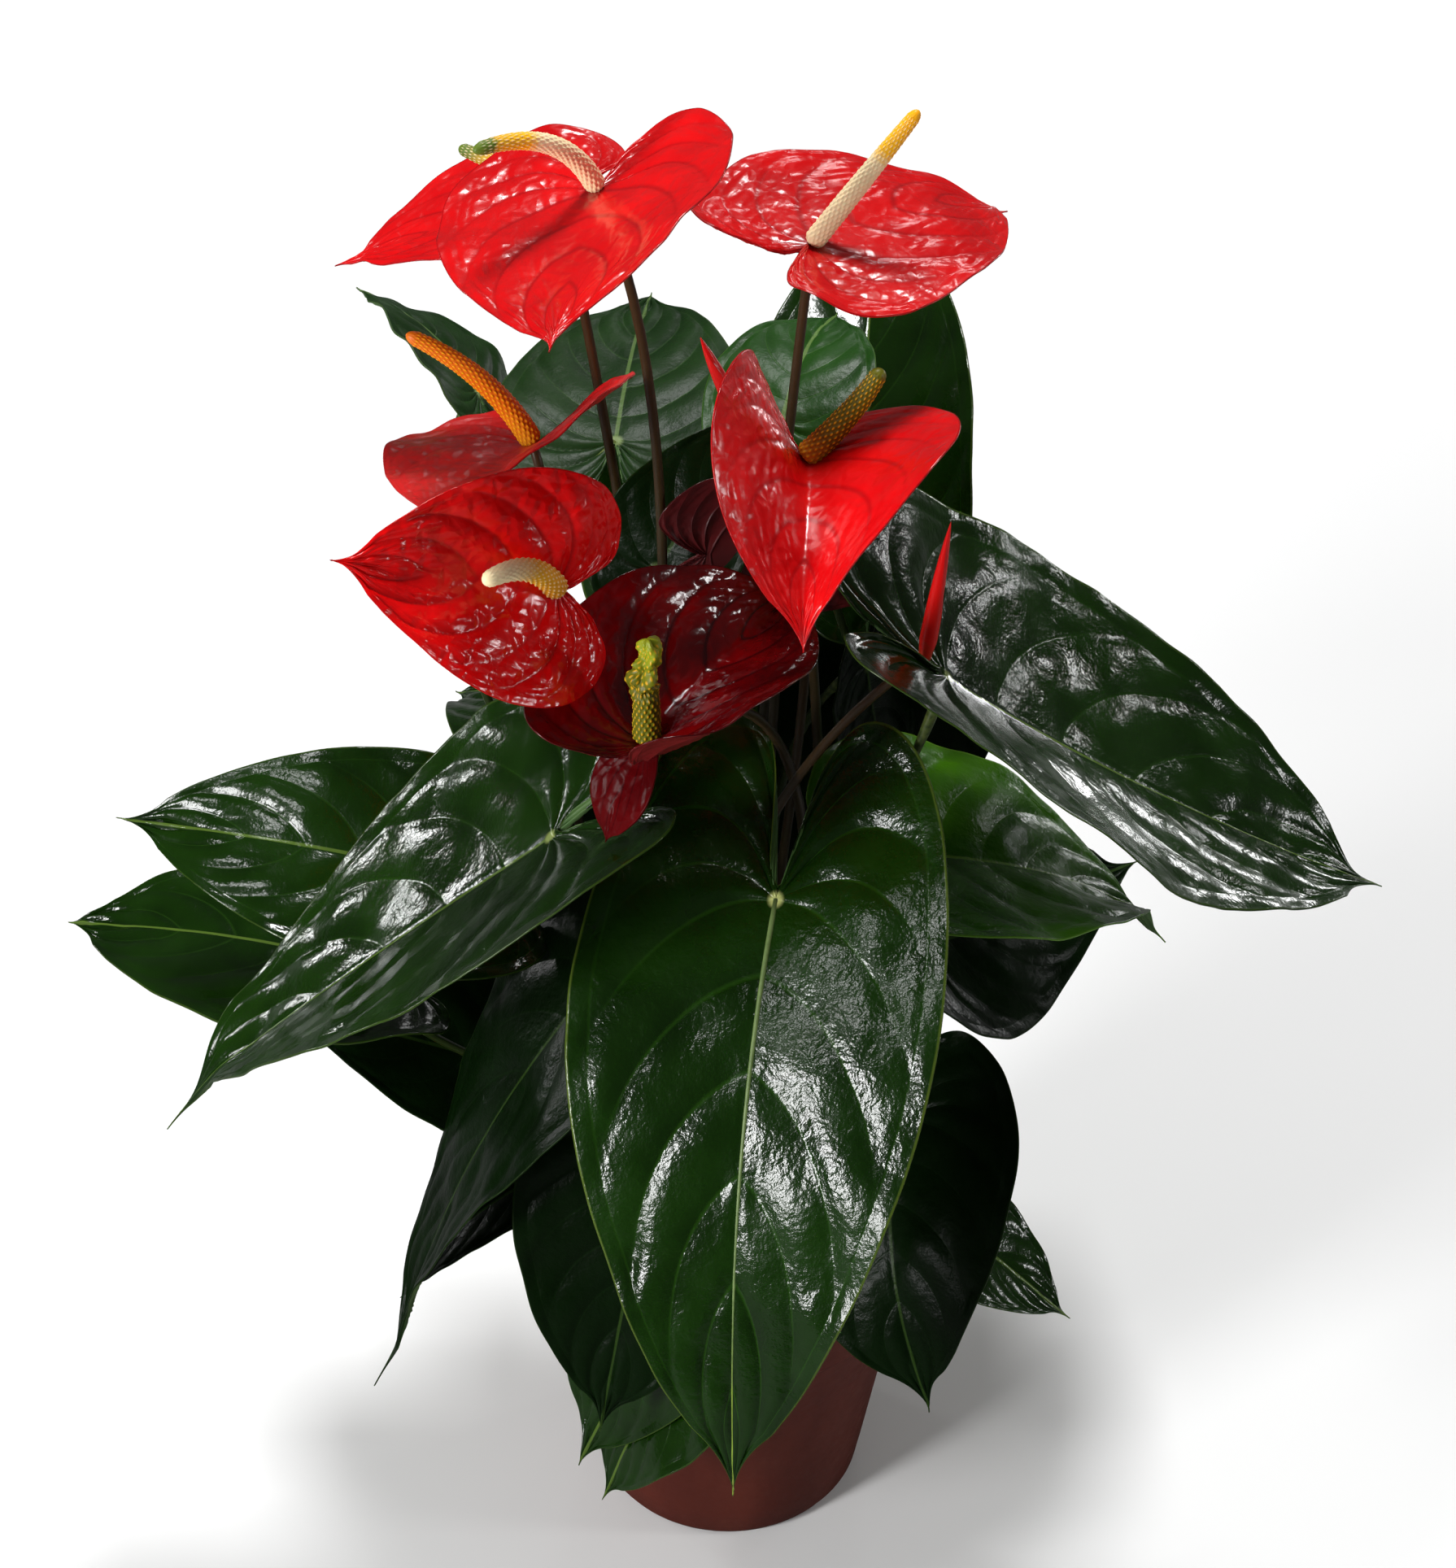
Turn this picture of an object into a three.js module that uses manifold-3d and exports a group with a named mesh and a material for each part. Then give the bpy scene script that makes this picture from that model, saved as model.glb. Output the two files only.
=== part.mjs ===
// A potted anthurium: heart-shaped leaves and waxy blooms rising from one crown in a plain grower's pot.
// Millimetres, +Z up, the front of the plant towards -Y. The origin is the centre of the pot's foot.

import * as THREE from 'three'
import { mergeVertices } from 'three/addons/utils/BufferGeometryUtils.js'
import Module from 'manifold-3d'

const wasm = await Module()
wasm.setup()

// Pot
const potHeight = 150
const rimRadius = 85
const rimBand = 20 // height of the proud band under the rim
const rimStep = 3 // how far the band stands out from the wall
const rimRounding = 1
const footRadius = 58
const footRounding = 5
const wall = 2.5
const potSides = 32

// Soil
const soilTop = 135
const crownRise = 6 // the soil is heaped a little round the crown
const crownRadius = 50
const clearance = 0.3 // between pieces that touch
const stemDepth = 20 // how far a stem stands in the soil
const holeSides = 6

// Plant
const bladeThickness = 0.8
const foldSoftening = 3 // a blade's fold is rounded over this much of it
const marginWaves = 2.5 // ruffles along each half of a leaf's margin
const petioleRadius = 1.9
const stalkRadius = 1.9
const uprightRise = 4 // a stem leaves the soil's highest point upright and turns this far above it
const stemLift = 0.45 // of its span, how strongly a stem goes on upward before it bends
const bendShare = 0.28 // of its span, how early it turns into its blade's direction
const budBendShare = 0.2
const petioleRise = 0.8 // how much steeper than the blade's normal a petiole arrives
const stemSides = 5
const stemSteps = 8
const spadixTaper = 0.4
const spadixSides = 8
const spadixRings = 7
const spadixFoot = 3 // its rounded foot reaches this far below the joint
const spadixTip = 2 // length of the rounded end
const knobHeight = 0.07 // of the radius
const budRadius = 3.4
const budSides = 8

// Outlines of one half of a blade, from the notch at the stem round the lobe to the tip.
// Each point is [distance along the midrib / its length, distance from the midrib / the half width].
const leafOutline = [
  [-0.02, 0], [-0.06, 0.06], [-0.2, 0.12], [-0.285, 0.3], [-0.275, 0.58], [-0.15, 0.84], [0.02, 0.97],
  [0.2, 1], [0.4, 0.9], [0.6, 0.69], [0.78, 0.42], [0.91, 0.16], [1, 0],
]
const spatheOutline = [
  [-0.03, 0], [-0.13, 0.1], [-0.24, 0.24], [-0.31, 0.45], [-0.27, 0.7], [-0.13, 0.91], [0.06, 1],
  [0.26, 0.98], [0.46, 0.85], [0.65, 0.63], [0.82, 0.36], [0.94, 0.12], [1, 0],
]
// The small flap under the front bloom's spike.
const tongueOutline = [
  [-0.1, 0], [-0.12, 0.2], [-0.05, 0.45], [0.08, 0.7], [0.25, 0.92],
  [0.45, 1], [0.65, 0.85], [0.85, 0.45], [1, 0],
]
const lobeReach = 0.29 // how far the lobes reach behind the joint, of the blade's length
const rootSpread = 6 // outline points whose veins all start at the stem
const veinSteps = 2 // from the midrib to the margin

// Leaves. The blade: joint and tip are where it meets its petiole and where it ends, width is across the
// lobes, roll turns it about its midrib and twist turns it further towards the tip, bow arches the
// midrib, fold lifts the two sides like a book, lobe lifts the lobes behind the joint and wave ruffles
// the margin. The petiole: foot is where it leaves the soil, lean pushes its lower part sideways, and
// rise, where it is given, is the direction in which it arrives at the blade.
const leaves = [
  // front and left
  {
    joint: [18, -95, 423], tip: [2, -219, 227], width: 143,
    roll: 10, bow: 28, fold: 0.12, lobe: 4, twist: -5, wave: 2,
    foot: [7, -26], lean: [0, -5],
  },
  {
    joint: [-66, -95, 455], tip: [-214, -80, 306], width: 145,
    roll: -4, bow: 2, fold: 0.26, lobe: -10, twist: 6, wave: 2,
    foot: [-23, -17], lean: [-10, 15], rise: [-0.5, -0.4, 0.8],
  },
  {
    joint: [-109, -11, 356], tip: [-244, 23, 357], width: 92,
    roll: -30, bow: 12, fold: 0.12, twist: -8, wave: 2,
    foot: [-16, 10], lean: [0, 35],
  },
  {
    joint: [-144, -14, 309], tip: [-275, 36, 287], width: 106,
    bow: 7, fold: 0.14, twist: -14, wave: 1.5,
    foot: [-26, -3], lean: [5, -5],
  },
  {
    joint: [-86, -4, 237], tip: [-180, -4, 271], width: 80,
    roll: -23, bow: 9, fold: 0.1,
    foot: [-40, -5], lean: [0, -5],
  },
  {
    joint: [-51, -57, 346], tip: [-135, -99, 178], width: 106,
    roll: 8, bow: 11, fold: 0.1, lobe: -5, twist: 20, wave: 2,
    foot: [-19, -27], lean: [5, -5],
  },
  {
    joint: [-80, -59, 232], tip: [-134, -80, 185], width: 38,
    roll: -2, bow: 8, fold: 0.1,
    foot: [-38, -26], lean: [-30, 0],
  },
  {
    joint: [-30, -90, 277], tip: [-52, -125, 156], width: 104,
    roll: -20, bow: 4, fold: 0.1,
    foot: [-9, -34], lean: [10, 5],
  },
  {
    joint: [-31, -88, 214], tip: [-62, -102, 106], width: 92,
    roll: -20, bow: -6, fold: 0.05,
    foot: [-14, -36], lean: [-5, 10],
  },
  {
    joint: [-11, -93, 174], tip: [-52, -109, 91], width: 78,
    roll: -10, bow: 6, fold: 0.02,
    foot: [-5, -44], lean: [0, -5],
  },
  // right
  {
    joint: [68, -62, 269], tip: [81, -138, 184], width: 118,
    roll: 35, bow: 18, fold: 0.15, lobe: 6, wave: 2,
    foot: [25, -27], lean: [-5, 0],
  },
  {
    joint: [86, -33, 186], tip: [144, -48, 136], width: 56,
    roll: 18, bow: 2, fold: 0.02,
    foot: [40, -17], lean: [0, 0],
  },
  {
    joint: [68, -55, 410], tip: [172, -15, 338], width: 112,
    roll: 10, bow: 8, fold: 0.25, twist: -20, wave: 2,
    foot: [8, -15], lean: [-30, -25], rise: [0.8, 0.5, 0.3],
  },
  {
    joint: [82, -50, 495], tip: [264, -3, 344], width: 165,
    roll: 6, bow: -6, fold: 0.28, twist: 10, wave: 3,
    foot: [14, -15], lean: [-15, -15], rise: [0.3, 0.3, 0.9],
  },
  {
    joint: [79, -53, 360], tip: [166, 27, 329], width: 94,
    roll: 30, bow: -10, fold: 0.05, lobe: 7, twist: 15, wave: 2,
    foot: [42, 7], lean: [25, 0],
  },
  // top, behind the blooms
  {
    joint: [58, 68, 477], tip: [63, 210, 524], width: 94,
    roll: -20, bow: 20, fold: 0.3, twist: 15, wave: 2,
    foot: [7, 16], lean: [-40, 0],
  },
  {
    joint: [20, 27, 556], tip: [42, 100, 552], width: 65,
    roll: -4, bow: 10, fold: 0.05,
    foot: [22, 0], lean: [100, 10],
  },
  {
    joint: [-96, 58, 547], tip: [-142, 92, 570], width: 70,
    roll: 35, bow: 6, fold: 0.02,
    foot: [-21, 4], lean: [-15, 20],
  },
  {
    joint: [-43, 37, 539], tip: [-31, 145, 529], width: 96,
    roll: -3, bow: 8, fold: 0.05,
    foot: [-7, 13], lean: [15, 45], rise: [0.7, 0.7, 0.3],
  },
  {
    joint: [-39, 30, 499], tip: [-76, 90, 500], width: 56,
    bow: 8, fold: 0.05,
    foot: [-1, 0], lean: [10, -5],
  },
  {
    joint: [-12, 66, 491], tip: [-42, 129, 509], width: 54,
    bow: 8, fold: 0.05,
    foot: [3, 23], lean: [45, -20],
  },
  {
    joint: [-27, -15, 518], tip: [16, 20, 569], width: 56,
    roll: 30, bow: 8, fold: 0.1,
    foot: [-10, -14], lean: [0, 0],
  },
  {
    joint: [55, 24, 438], tip: [66, 18, 358], width: 70,
    bow: 0, fold: 0.1,
    foot: [22, 9], lean: [-5, 0],
  },
  // back, out of view from the front
  {
    joint: [-46, 95, 330], tip: [-118, 180, 290], width: 105,
    bow: 12, fold: 0.1, wave: 2,
    foot: [-15, 27], lean: [-10, -5],
  },
  {
    joint: [0, 108, 400], tip: [5, 235, 330], width: 125,
    bow: 18, fold: 0.1, wave: 2.5,
    foot: [-7, 33], lean: [0, 5], rise: [0.3, 0.8, 0.5],
  },
  {
    joint: [52, 98, 360], tip: [127, 212, 300], width: 120,
    bow: 15, fold: 0.1, wave: 2.5,
    foot: [19, 26], lean: [0, 10],
  },
  {
    joint: [82, 58, 290], tip: [162, 118, 235], width: 95,
    bow: 10, fold: 0.1, wave: 2,
    foot: [32, 25], lean: [0, 5],
  },
  {
    joint: [-92, 62, 290], tip: [-185, 110, 245], width: 100,
    bow: 10, fold: 0.1, wave: 2,
    foot: [-32, 16], lean: [0, 0],
  },
]

// Blooms: the spathe and its stalk are given like a leaf. spadix is the tip of the spike, spike its
// radius, and bend curves it.
const red = 0xc81414
const darkRed = 0x7c0c12
const maroon = 0x4a0c10
const blooms = [
  // the two at the top left, the one behind first
  {
    joint: [-61, 24, 663], tip: [-139, 13, 639], width: 78,
    roll: 6, bow: 1, fold: 0.15, lobe: -6,
    spadix: [-98, 44, 668], spike: 3.6, color: red,
    foot: [-14, 4], lean: [0, -55], rise: [-0.15, 0, 1],
  },
  {
    joint: [-46, -16, 691], tip: [-59, -115, 696], width: 108,
    roll: 18, bow: 0, fold: 0.16, lobe: 3, twist: 6,
    spadix: [-87, -45, 726], spike: 3.8, bend: 10, color: red,
    foot: [-16, -2], lean: [-30, -95], rise: [-0.3, -0.1, 0.95],
  },
  // top right
  {
    joint: [30, -7, 661], tip: [101, 62, 627], width: 105,
    roll: 3, bow: 10, fold: 0, lobe: 12,
    spadix: [67, 0, 713], spike: 4.3, color: red,
    foot: [5, 4], lean: [5, -10], rise: [0.1, 0, 1],
  },
  // left middle
  {
    joint: [-72, -10, 574], tip: [-100, -88, 598], width: 96,
    roll: 26, bow: 2, fold: 0.32, lobe: 4,
    spadix: [-117, -5, 620], spike: 4.2, bend: 6, color: red,
    foot: [-22, 12], lean: [-60, 15], rise: [-0.2, 0, 1],
  },
  // centre right
  {
    joint: [27, -67, 611], tip: [26, -144, 590], width: 86,
    roll: -20, bow: 7, fold: 1.05, lobe: -4, twist: 30,
    spadix: [54, -60, 645], spike: 4.6, bend: -2, color: red,
    foot: [14, -7], lean: [40, 5], rise: [0, -0.3, 0.95],
  },
  // lower left
  {
    joint: [-61, -95, 574], tip: [-133, -130, 615], width: 84,
    roll: -60, bow: 2, fold: 0.22, lobe: -6, twist: 5,
    spadix: [-84, -130, 606], spike: 4.6, bend: 6, color: red,
    foot: [-3, -6], lean: [-20, 40], rise: [0, -0.8, 0.6],
  },
  // front centre
  {
    joint: [-29, -117, 522], tip: [24, -33, 521], width: 86,
    roll: -4, bow: 6, fold: 0.7, lobe: 12, twist: 34,
    spadix: [-29, -115, 568], spike: 5, color: darkRed,
    tongue: { joint: [-30, -117, 521], tip: [-44, -132, 487], width: 27, bow: 3, fold: 0.1 },
    foot: [18, 3], lean: [25, 10], rise: [-0.6, -0.8, 0.1],
  },
  // behind it, its face turned away
  {
    joint: [31, 5, 506], tip: [-33, 5, 510], width: 80,
    roll: 70, bow: 5, fold: 0.1,
    spadix: [12, 48, 522], spike: 4, color: maroon,
    foot: [14, 10], lean: [-5, 5], rise: [0, 0.5, 0.87],
  },
]

// Young blooms, the spathe still rolled round the spike.
const buds = [
  {
    joint: [73, -53, 507], tip: [81, -50, 569],
    foot: [7, -10], lean: [-40, -10], rise: [0.8, 0.1, 0.6],
  },
  {
    joint: [3, -15, 593], tip: [-10, -15, 626],
    foot: [-7, -22], lean: [15, 5],
  },
]

const leafColor = 0x2c5a1c
const stalkColor = 0x6a4a2c
const spadixColor = 0xd9b04a
const potColor = 0x6a3226
const soilColor = 0x2a1d15

const point = (values) => new THREE.Vector3(...values)
const up = new THREE.Vector3(0, 0, 1)

// A closed geometry as a solid for joining and cutting.
function solidOf(geometry) {
  const bare = geometry.clone()
  bare.deleteAttribute('normal')
  bare.deleteAttribute('uv')
  const merged = mergeVertices(bare, 1e-3)
  const triVerts = new Uint32Array(merged.index.array)
  const vertProperties = new Float32Array(merged.attributes.position.array)
  return new wasm.Manifold(new wasm.Mesh({ numProp: 3, vertProperties, triVerts }))
}

// The largest piece of a solid, as a geometry.
function geometryOf(solid) {
  const largest = solid.decompose().reduce((a, b) => (a.volume() > b.volume() ? a : b))
  const mesh = largest.getMesh()
  const geometry = new THREE.BufferGeometry()
  geometry.setAttribute('position', new THREE.BufferAttribute(mesh.vertProperties, 3))
  geometry.setIndex(new THREE.BufferAttribute(mesh.triVerts, 1))
  return geometry
}

// Axes of a blade: along its midrib, across it to the right, and out of its upper face.
function bladeAxes(blade) {
  const joint = point(blade.joint)
  const along = point(blade.tip).sub(joint)
  const length = along.length()
  along.normalize()
  const turned = new THREE.Quaternion().setFromAxisAngle(along, THREE.MathUtils.degToRad(blade.roll ?? 0))
  const across = along.clone().cross(up).normalize().applyQuaternion(turned)
  const out = across.clone().cross(along)
  return { joint, length, along, across, out }
}

// The upward direction of the blade right at its joint, where the midrib already slopes with its arch.
function normalAtJoint(blade) {
  const { length, along, out } = bladeAxes(blade)
  const slope = (4 * blade.bow) / length
  return out.clone().addScaledVector(along, -slope).normalize()
}

// A blade as a closed thin solid. Each half is a fan of vein lines from the midrib to the margin,
// and both faces have the same triangles.
function bladeGeometry(blade, outline, thickness) {
  const { joint, length, along, across, out } = bladeAxes(blade)
  const curve = new THREE.SplineCurve(outline.map(([s, t]) => new THREE.Vector2(s, t)))
  const last = outline.length - 1
  const { bow, fold, lobe = 0, twist = 0, wave = 0 } = blade
  const surface = (s, t, margin, rim) => {
    const arch = s > 0 ? 4 * bow * s * (1 - s) : 4 * bow * s + lobe * (s / lobeReach) ** 2
    const side = t * 0.5 * blade.width
    const lift = fold * (Math.hypot(side, foldSoftening) - foldSoftening)
    const phase = 2 * Math.PI * marginWaves * rim + (t > 0 ? 0 : 2)
    const ruffle = wave * margin * margin * Math.sin(phase)
    const turn = THREE.MathUtils.degToRad(twist) * Math.max(s, -0.3)
    const sideways = across.clone().applyAxisAngle(along, turn)
    const outward = out.clone().applyAxisAngle(along, turn)
    return joint.clone().addScaledVector(along, s * length).addScaledVector(sideways, side)
      .addScaledVector(outward, arch + lift + ruffle)
  }
  const at = (hand, q, w) => {
    const rim = curve.getPoint(q / last)
    const root = Math.max(0, (q - rootSpread) / (last - rootSpread)) ** 1.2
    return surface(root + (rim.x - root) * w, hand * rim.y * w, w, q / last)
  }
  const normal = (hand, q, w) => {
    const e = 0.02
    const beside = Math.max(w, e)
    const byQ = at(hand, Math.min(q + e, last - e), beside).sub(at(hand, Math.max(q - e, e), beside))
    const byW = at(hand, q, Math.min(w + e, 1)).sub(at(hand, q, Math.max(w - e, 0)))
    const n = byQ.cross(byW).normalize()
    return n.dot(out) < 0 ? n.negate() : n
  }
  const positions = []
  const triangle = (a, b, c) => {
    const shortest = Math.min(a.distanceTo(b), b.distanceTo(c), a.distanceTo(c))
    if (shortest < 0.01) return
    positions.push(...a.toArray(), ...b.toArray(), ...c.toArray())
  }
  for (const hand of [1, -1]) {
    const rows = []
    for (let q = 0; q <= last; q++) {
      const row = []
      for (let k = 0; k <= veinSteps; k++) {
        const w = k / veinSteps
        const middle = at(hand, q, w)
        const onMidrib = k === 0 || q === 0 || q === last
        const half = (onMidrib ? out : normal(hand, q, w)).clone().multiplyScalar(thickness / 2)
        row.push([middle.clone().add(half), middle.clone().sub(half)])
      }
      rows.push(row)
    }
    const face = (a, b, c) => (hand > 0 ? triangle(a, b, c) : triangle(a, c, b))
    for (let q = 0; q < last; q++) {
      for (let k = 0; k < veinSteps; k++) {
        const [a, b, c, d] = [rows[q][k], rows[q + 1][k], rows[q + 1][k + 1], rows[q][k + 1]]
        face(a[0], d[0], c[0])
        face(a[0], c[0], b[0])
        face(a[1], c[1], d[1])
        face(a[1], b[1], c[1])
      }
      const [rim, next] = [rows[q][veinSteps], rows[q + 1][veinSteps]]
      face(rim[0], rim[1], next[1])
      face(rim[0], next[1], next[0])
    }
  }
  const geometry = new THREE.BufferGeometry()
  geometry.setAttribute('position', new THREE.Float32BufferAttribute(positions, 3))
  return geometry
}

const stemFoot = (blade) => new THREE.Vector3(...blade.foot, soilTop)

// A stem stands upright in its hole for its first step, then runs in one curve to its blade.
class StemPath extends THREE.Curve {
  constructor(foot, end, endDirection, lean, share) {
    super()
    const bottom = foot.clone().setZ(soilTop - stemDepth)
    const emerge = foot.clone().setZ(soilTop + crownRise + uprightRise)
    const span = end.distanceTo(emerge)
    const rise = emerge.clone().add(new THREE.Vector3(...lean, span * stemLift))
    const reach = end.clone().addScaledVector(endDirection, -span * share)
    this.upright = new THREE.LineCurve3(bottom, emerge)
    this.bend = new THREE.CubicBezierCurve3(emerge, rise, reach, end)
  }

  getPoint(t) {
    const first = 1 / stemSteps
    return t < first ? this.upright.getPoint(t / first) : this.bend.getPoint((t - first) / (1 - first))
  }

  getPointAt(t) {
    return this.getPoint(t)
  }

  getTangentAt(t) {
    return this.getTangent(t)
  }
}

function stemGeometry(path, radius) {
  const section = new THREE.Shape()
  for (let i = 0; i < stemSides; i++) {
    const angle = (2 * Math.PI * i) / stemSides
    section[i ? 'lineTo' : 'moveTo'](radius * Math.cos(angle), radius * Math.sin(angle))
  }
  return new THREE.ExtrudeGeometry(section, { extrudePath: path, steps: stemSteps, bevelEnabled: false })
}

// A tapered spike from its foot towards its tip, covered in knobs that stand in a chequered pattern.
function spadixGeometry(foot, bloom) {
  const tip = point(bloom.spadix)
  const length = foot.distanceTo(tip)
  const profile = [new THREE.Vector2(0, -spadixFoot)]
  for (let ring = 0; ring <= spadixRings; ring++) {
    const along = ring / spadixRings
    const rounding = ring === 0 ? 0.8 : ring === spadixRings ? 0.6 : 1
    const radius = bloom.spike * (1 - spadixTaper * along * along) * rounding
    profile.push(new THREE.Vector2(radius, along * (length - spadixTip)))
  }
  profile.push(new THREE.Vector2(0, length))
  const geometry = new THREE.LatheGeometry(profile, spadixSides)
  const axis = tip.clone().sub(foot).normalize()
  const sideways = axis.clone().cross(up).normalize().cross(axis)
  const place = new THREE.Matrix4().makeBasis(axis.clone().cross(sideways), axis, sideways)
  const position = geometry.attributes.position
  const v = new THREE.Vector3()
  for (let i = 0; i < position.count; i++) {
    v.fromBufferAttribute(position, i)
    const ring = i % profile.length
    const side = Math.floor(i / profile.length)
    const knob = 1 + ((ring + side) % 2 ? knobHeight : -knobHeight)
    const along = v.y / length
    v.x *= knob
    v.z *= knob
    v.applyMatrix4(place).addScaledVector(sideways, 4 * (bloom.bend ?? 0) * along * (1 - along)).add(foot)
    position.setXYZ(i, v.x, v.y, v.z)
  }
  return geometry
}

const plant = new THREE.Group()
const holes = []

function addMesh(name, geometry, color, roughness) {
  const material = new THREE.MeshStandardMaterial({ color, roughness, metalness: 0 })
  const mesh = new THREE.Mesh(geometry, material)
  mesh.name = name
  plant.add(mesh)
}

// The soil is left open round each stem.
function makeHole(foot, stemRadius) {
  const radius = stemRadius + 2 * clearance
  const depth = stemDepth + clearance
  const height = depth + 2 * crownRise
  const hole = new THREE.CylinderGeometry(radius, radius, height, holeSides)
  hole.rotateX(Math.PI / 2).translate(foot.x, foot.y, soilTop - depth + height / 2)
  holes.push(solidOf(hole))
}

function addLeaf(leaf, index) {
  const normal = normalAtJoint(leaf)
  const foot = stemFoot(leaf)
  const end = point(leaf.joint).addScaledVector(normal, bladeThickness / 4)
  const rise = leaf.rise ? point(leaf.rise) : normal.clone().setZ(normal.z + petioleRise)
  const path = new StemPath(foot, end, rise.normalize(), leaf.lean, bendShare)
  const stem = solidOf(stemGeometry(path, petioleRadius))
  const blade = solidOf(bladeGeometry(leaf, leafOutline, bladeThickness))
  addMesh(`leaf_${String(index + 1).padStart(2, '0')}`, geometryOf(blade.add(stem)), leafColor, 0.35)
  makeHole(foot, petioleRadius)
}

function addBloom(bloom, index) {
  const name = `bloom_${index + 1}`
  const normal = normalAtJoint(bloom)
  const foot = stemFoot(bloom)
  const joint = point(bloom.joint)
  const spatheSolid = (thickness) => {
    const heart = solidOf(bladeGeometry(bloom, spatheOutline, thickness))
    if (!bloom.tongue) return heart
    return heart.add(solidOf(bladeGeometry(bloom.tongue, tongueOutline, thickness)))
  }
  const gap = spatheSolid(bladeThickness + 2 * clearance)
  const path = new StemPath(foot, joint, point(bloom.rise).normalize(), bloom.lean, bendShare)
  const stalk = solidOf(stemGeometry(path, stalkRadius)).subtract(gap)
  const spike = solidOf(spadixGeometry(joint.clone().addScaledVector(normal, spadixFoot), bloom))
  addMesh(`${name}_stalk`, geometryOf(stalk), stalkColor, 0.5)
  addMesh(`${name}_spathe`, geometryOf(spatheSolid(bladeThickness)), bloom.color, 0.2)
  addMesh(`${name}_spadix`, geometryOf(spike.subtract(gap)), spadixColor, 0.5)
  makeHole(foot, stalkRadius)
}

// A rolled spathe is a slender spindle on its own stalk.
function addBud(bud, index) {
  const name = `bud_${index + 1}`
  const foot = stemFoot(bud)
  const joint = point(bud.joint)
  const axis = point(bud.tip).sub(joint).normalize()
  const length = point(bud.tip).distanceTo(joint)
  const stalkEnd = joint.clone().addScaledVector(axis, -clearance)
  const rise = bud.rise ? point(bud.rise).normalize() : axis
  const path = new StemPath(foot, stalkEnd, rise, bud.lean, budBendShare)
  const stem = solidOf(stemGeometry(path, stalkRadius))
  const stalk = stem.trimByPlane(axis.clone().negate().toArray(), -axis.dot(stalkEnd))
  const profile = [[0, 0], [0.7, 0], [1, 0.12], [0.95, 0.4], [0.6, 0.75], [0, 1]]
  const outline = profile.map(([r, y]) => new THREE.Vector2(r * budRadius, y * length))
  const spindle = new THREE.LatheGeometry(outline, budSides)
  spindle.applyQuaternion(new THREE.Quaternion().setFromUnitVectors(new THREE.Vector3(0, 1, 0), axis))
  spindle.translate(joint.x, joint.y, joint.z)
  addMesh(`${name}_stalk`, geometryOf(stalk), stalkColor, 0.5)
  addMesh(`${name}_spathe`, spindle, red, 0.3)
  makeHole(foot, stalkRadius)
}

leaves.forEach(addLeaf)
blooms.forEach(addBloom)
buds.forEach(addBud)

const wallSlope = (rimRadius - rimStep - footRadius) / potHeight
const outerRadius = (z) => footRadius + wallSlope * z

function turned(profile) {
  const points = profile.map(([radius, z]) => new THREE.Vector2(radius, z))
  return new THREE.LatheGeometry(points, potSides).rotateX(Math.PI / 2)
}

function potGeometry() {
  const bandFoot = potHeight - rimBand
  return turned([
    [0, 0],
    [footRadius - footRounding, 0],
    [footRadius - 0.25 * footRounding, 0.3 * footRounding],
    [outerRadius(footRounding) + clearance, footRounding],
    [outerRadius(bandFoot), bandFoot],
    [rimRadius - rimRounding, bandFoot],
    [rimRadius, bandFoot + rimRounding],
    [rimRadius, potHeight - rimRounding],
    [rimRadius - rimRounding, potHeight],
    [rimRadius - wall, potHeight],
    [outerRadius(bandFoot) - wall + 1, bandFoot - 4],
    [outerRadius(wall) - wall, wall + 2],
    [footRadius - wall - 4, wall],
    [0, wall],
  ])
}

function soilGeometry() {
  const insideRadius = (z) => outerRadius(z) - wall - 3 * clearance
  const bottom = wall + clearance
  const bandFoot = potHeight - rimBand
  return turned([
    [0, bottom],
    [footRadius - wall - 6, bottom],
    [insideRadius(footRounding), footRounding + 1],
    [insideRadius(bandFoot), bandFoot - 4],
    [insideRadius(soilTop), soilTop - 2],
    [crownRadius, soilTop],
    [0, soilTop + crownRise],
  ])
}

addMesh('pot', potGeometry(), potColor, 0.6)
const drilled = holes.reduce((soil, hole) => soil.subtract(hole), solidOf(soilGeometry()))
addMesh('soil', geometryOf(drilled), soilColor, 0.95)

export default plant
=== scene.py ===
import bmesh
import bpy
import math
import random
from mathutils import Matrix, Quaternion, Vector, noise


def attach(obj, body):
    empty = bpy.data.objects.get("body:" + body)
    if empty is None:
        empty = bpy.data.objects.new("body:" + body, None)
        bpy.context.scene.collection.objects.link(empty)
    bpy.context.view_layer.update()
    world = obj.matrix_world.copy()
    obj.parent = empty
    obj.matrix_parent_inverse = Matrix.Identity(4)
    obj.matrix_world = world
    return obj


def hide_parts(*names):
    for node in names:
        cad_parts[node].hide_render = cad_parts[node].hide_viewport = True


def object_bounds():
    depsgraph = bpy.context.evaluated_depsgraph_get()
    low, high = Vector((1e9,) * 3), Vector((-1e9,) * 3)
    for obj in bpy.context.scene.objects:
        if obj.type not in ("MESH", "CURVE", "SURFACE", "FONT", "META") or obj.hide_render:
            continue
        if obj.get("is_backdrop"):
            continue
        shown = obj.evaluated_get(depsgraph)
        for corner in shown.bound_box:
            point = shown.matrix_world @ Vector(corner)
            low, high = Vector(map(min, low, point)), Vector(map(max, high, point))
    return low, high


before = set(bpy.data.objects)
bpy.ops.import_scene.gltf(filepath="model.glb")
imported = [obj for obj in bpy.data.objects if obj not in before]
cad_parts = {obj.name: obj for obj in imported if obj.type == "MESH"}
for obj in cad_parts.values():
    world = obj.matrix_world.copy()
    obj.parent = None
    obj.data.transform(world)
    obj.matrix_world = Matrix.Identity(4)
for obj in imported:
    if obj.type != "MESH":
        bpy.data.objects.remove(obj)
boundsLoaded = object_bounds()
random.seed(11)
up = Vector((0, 0, 1))
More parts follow.
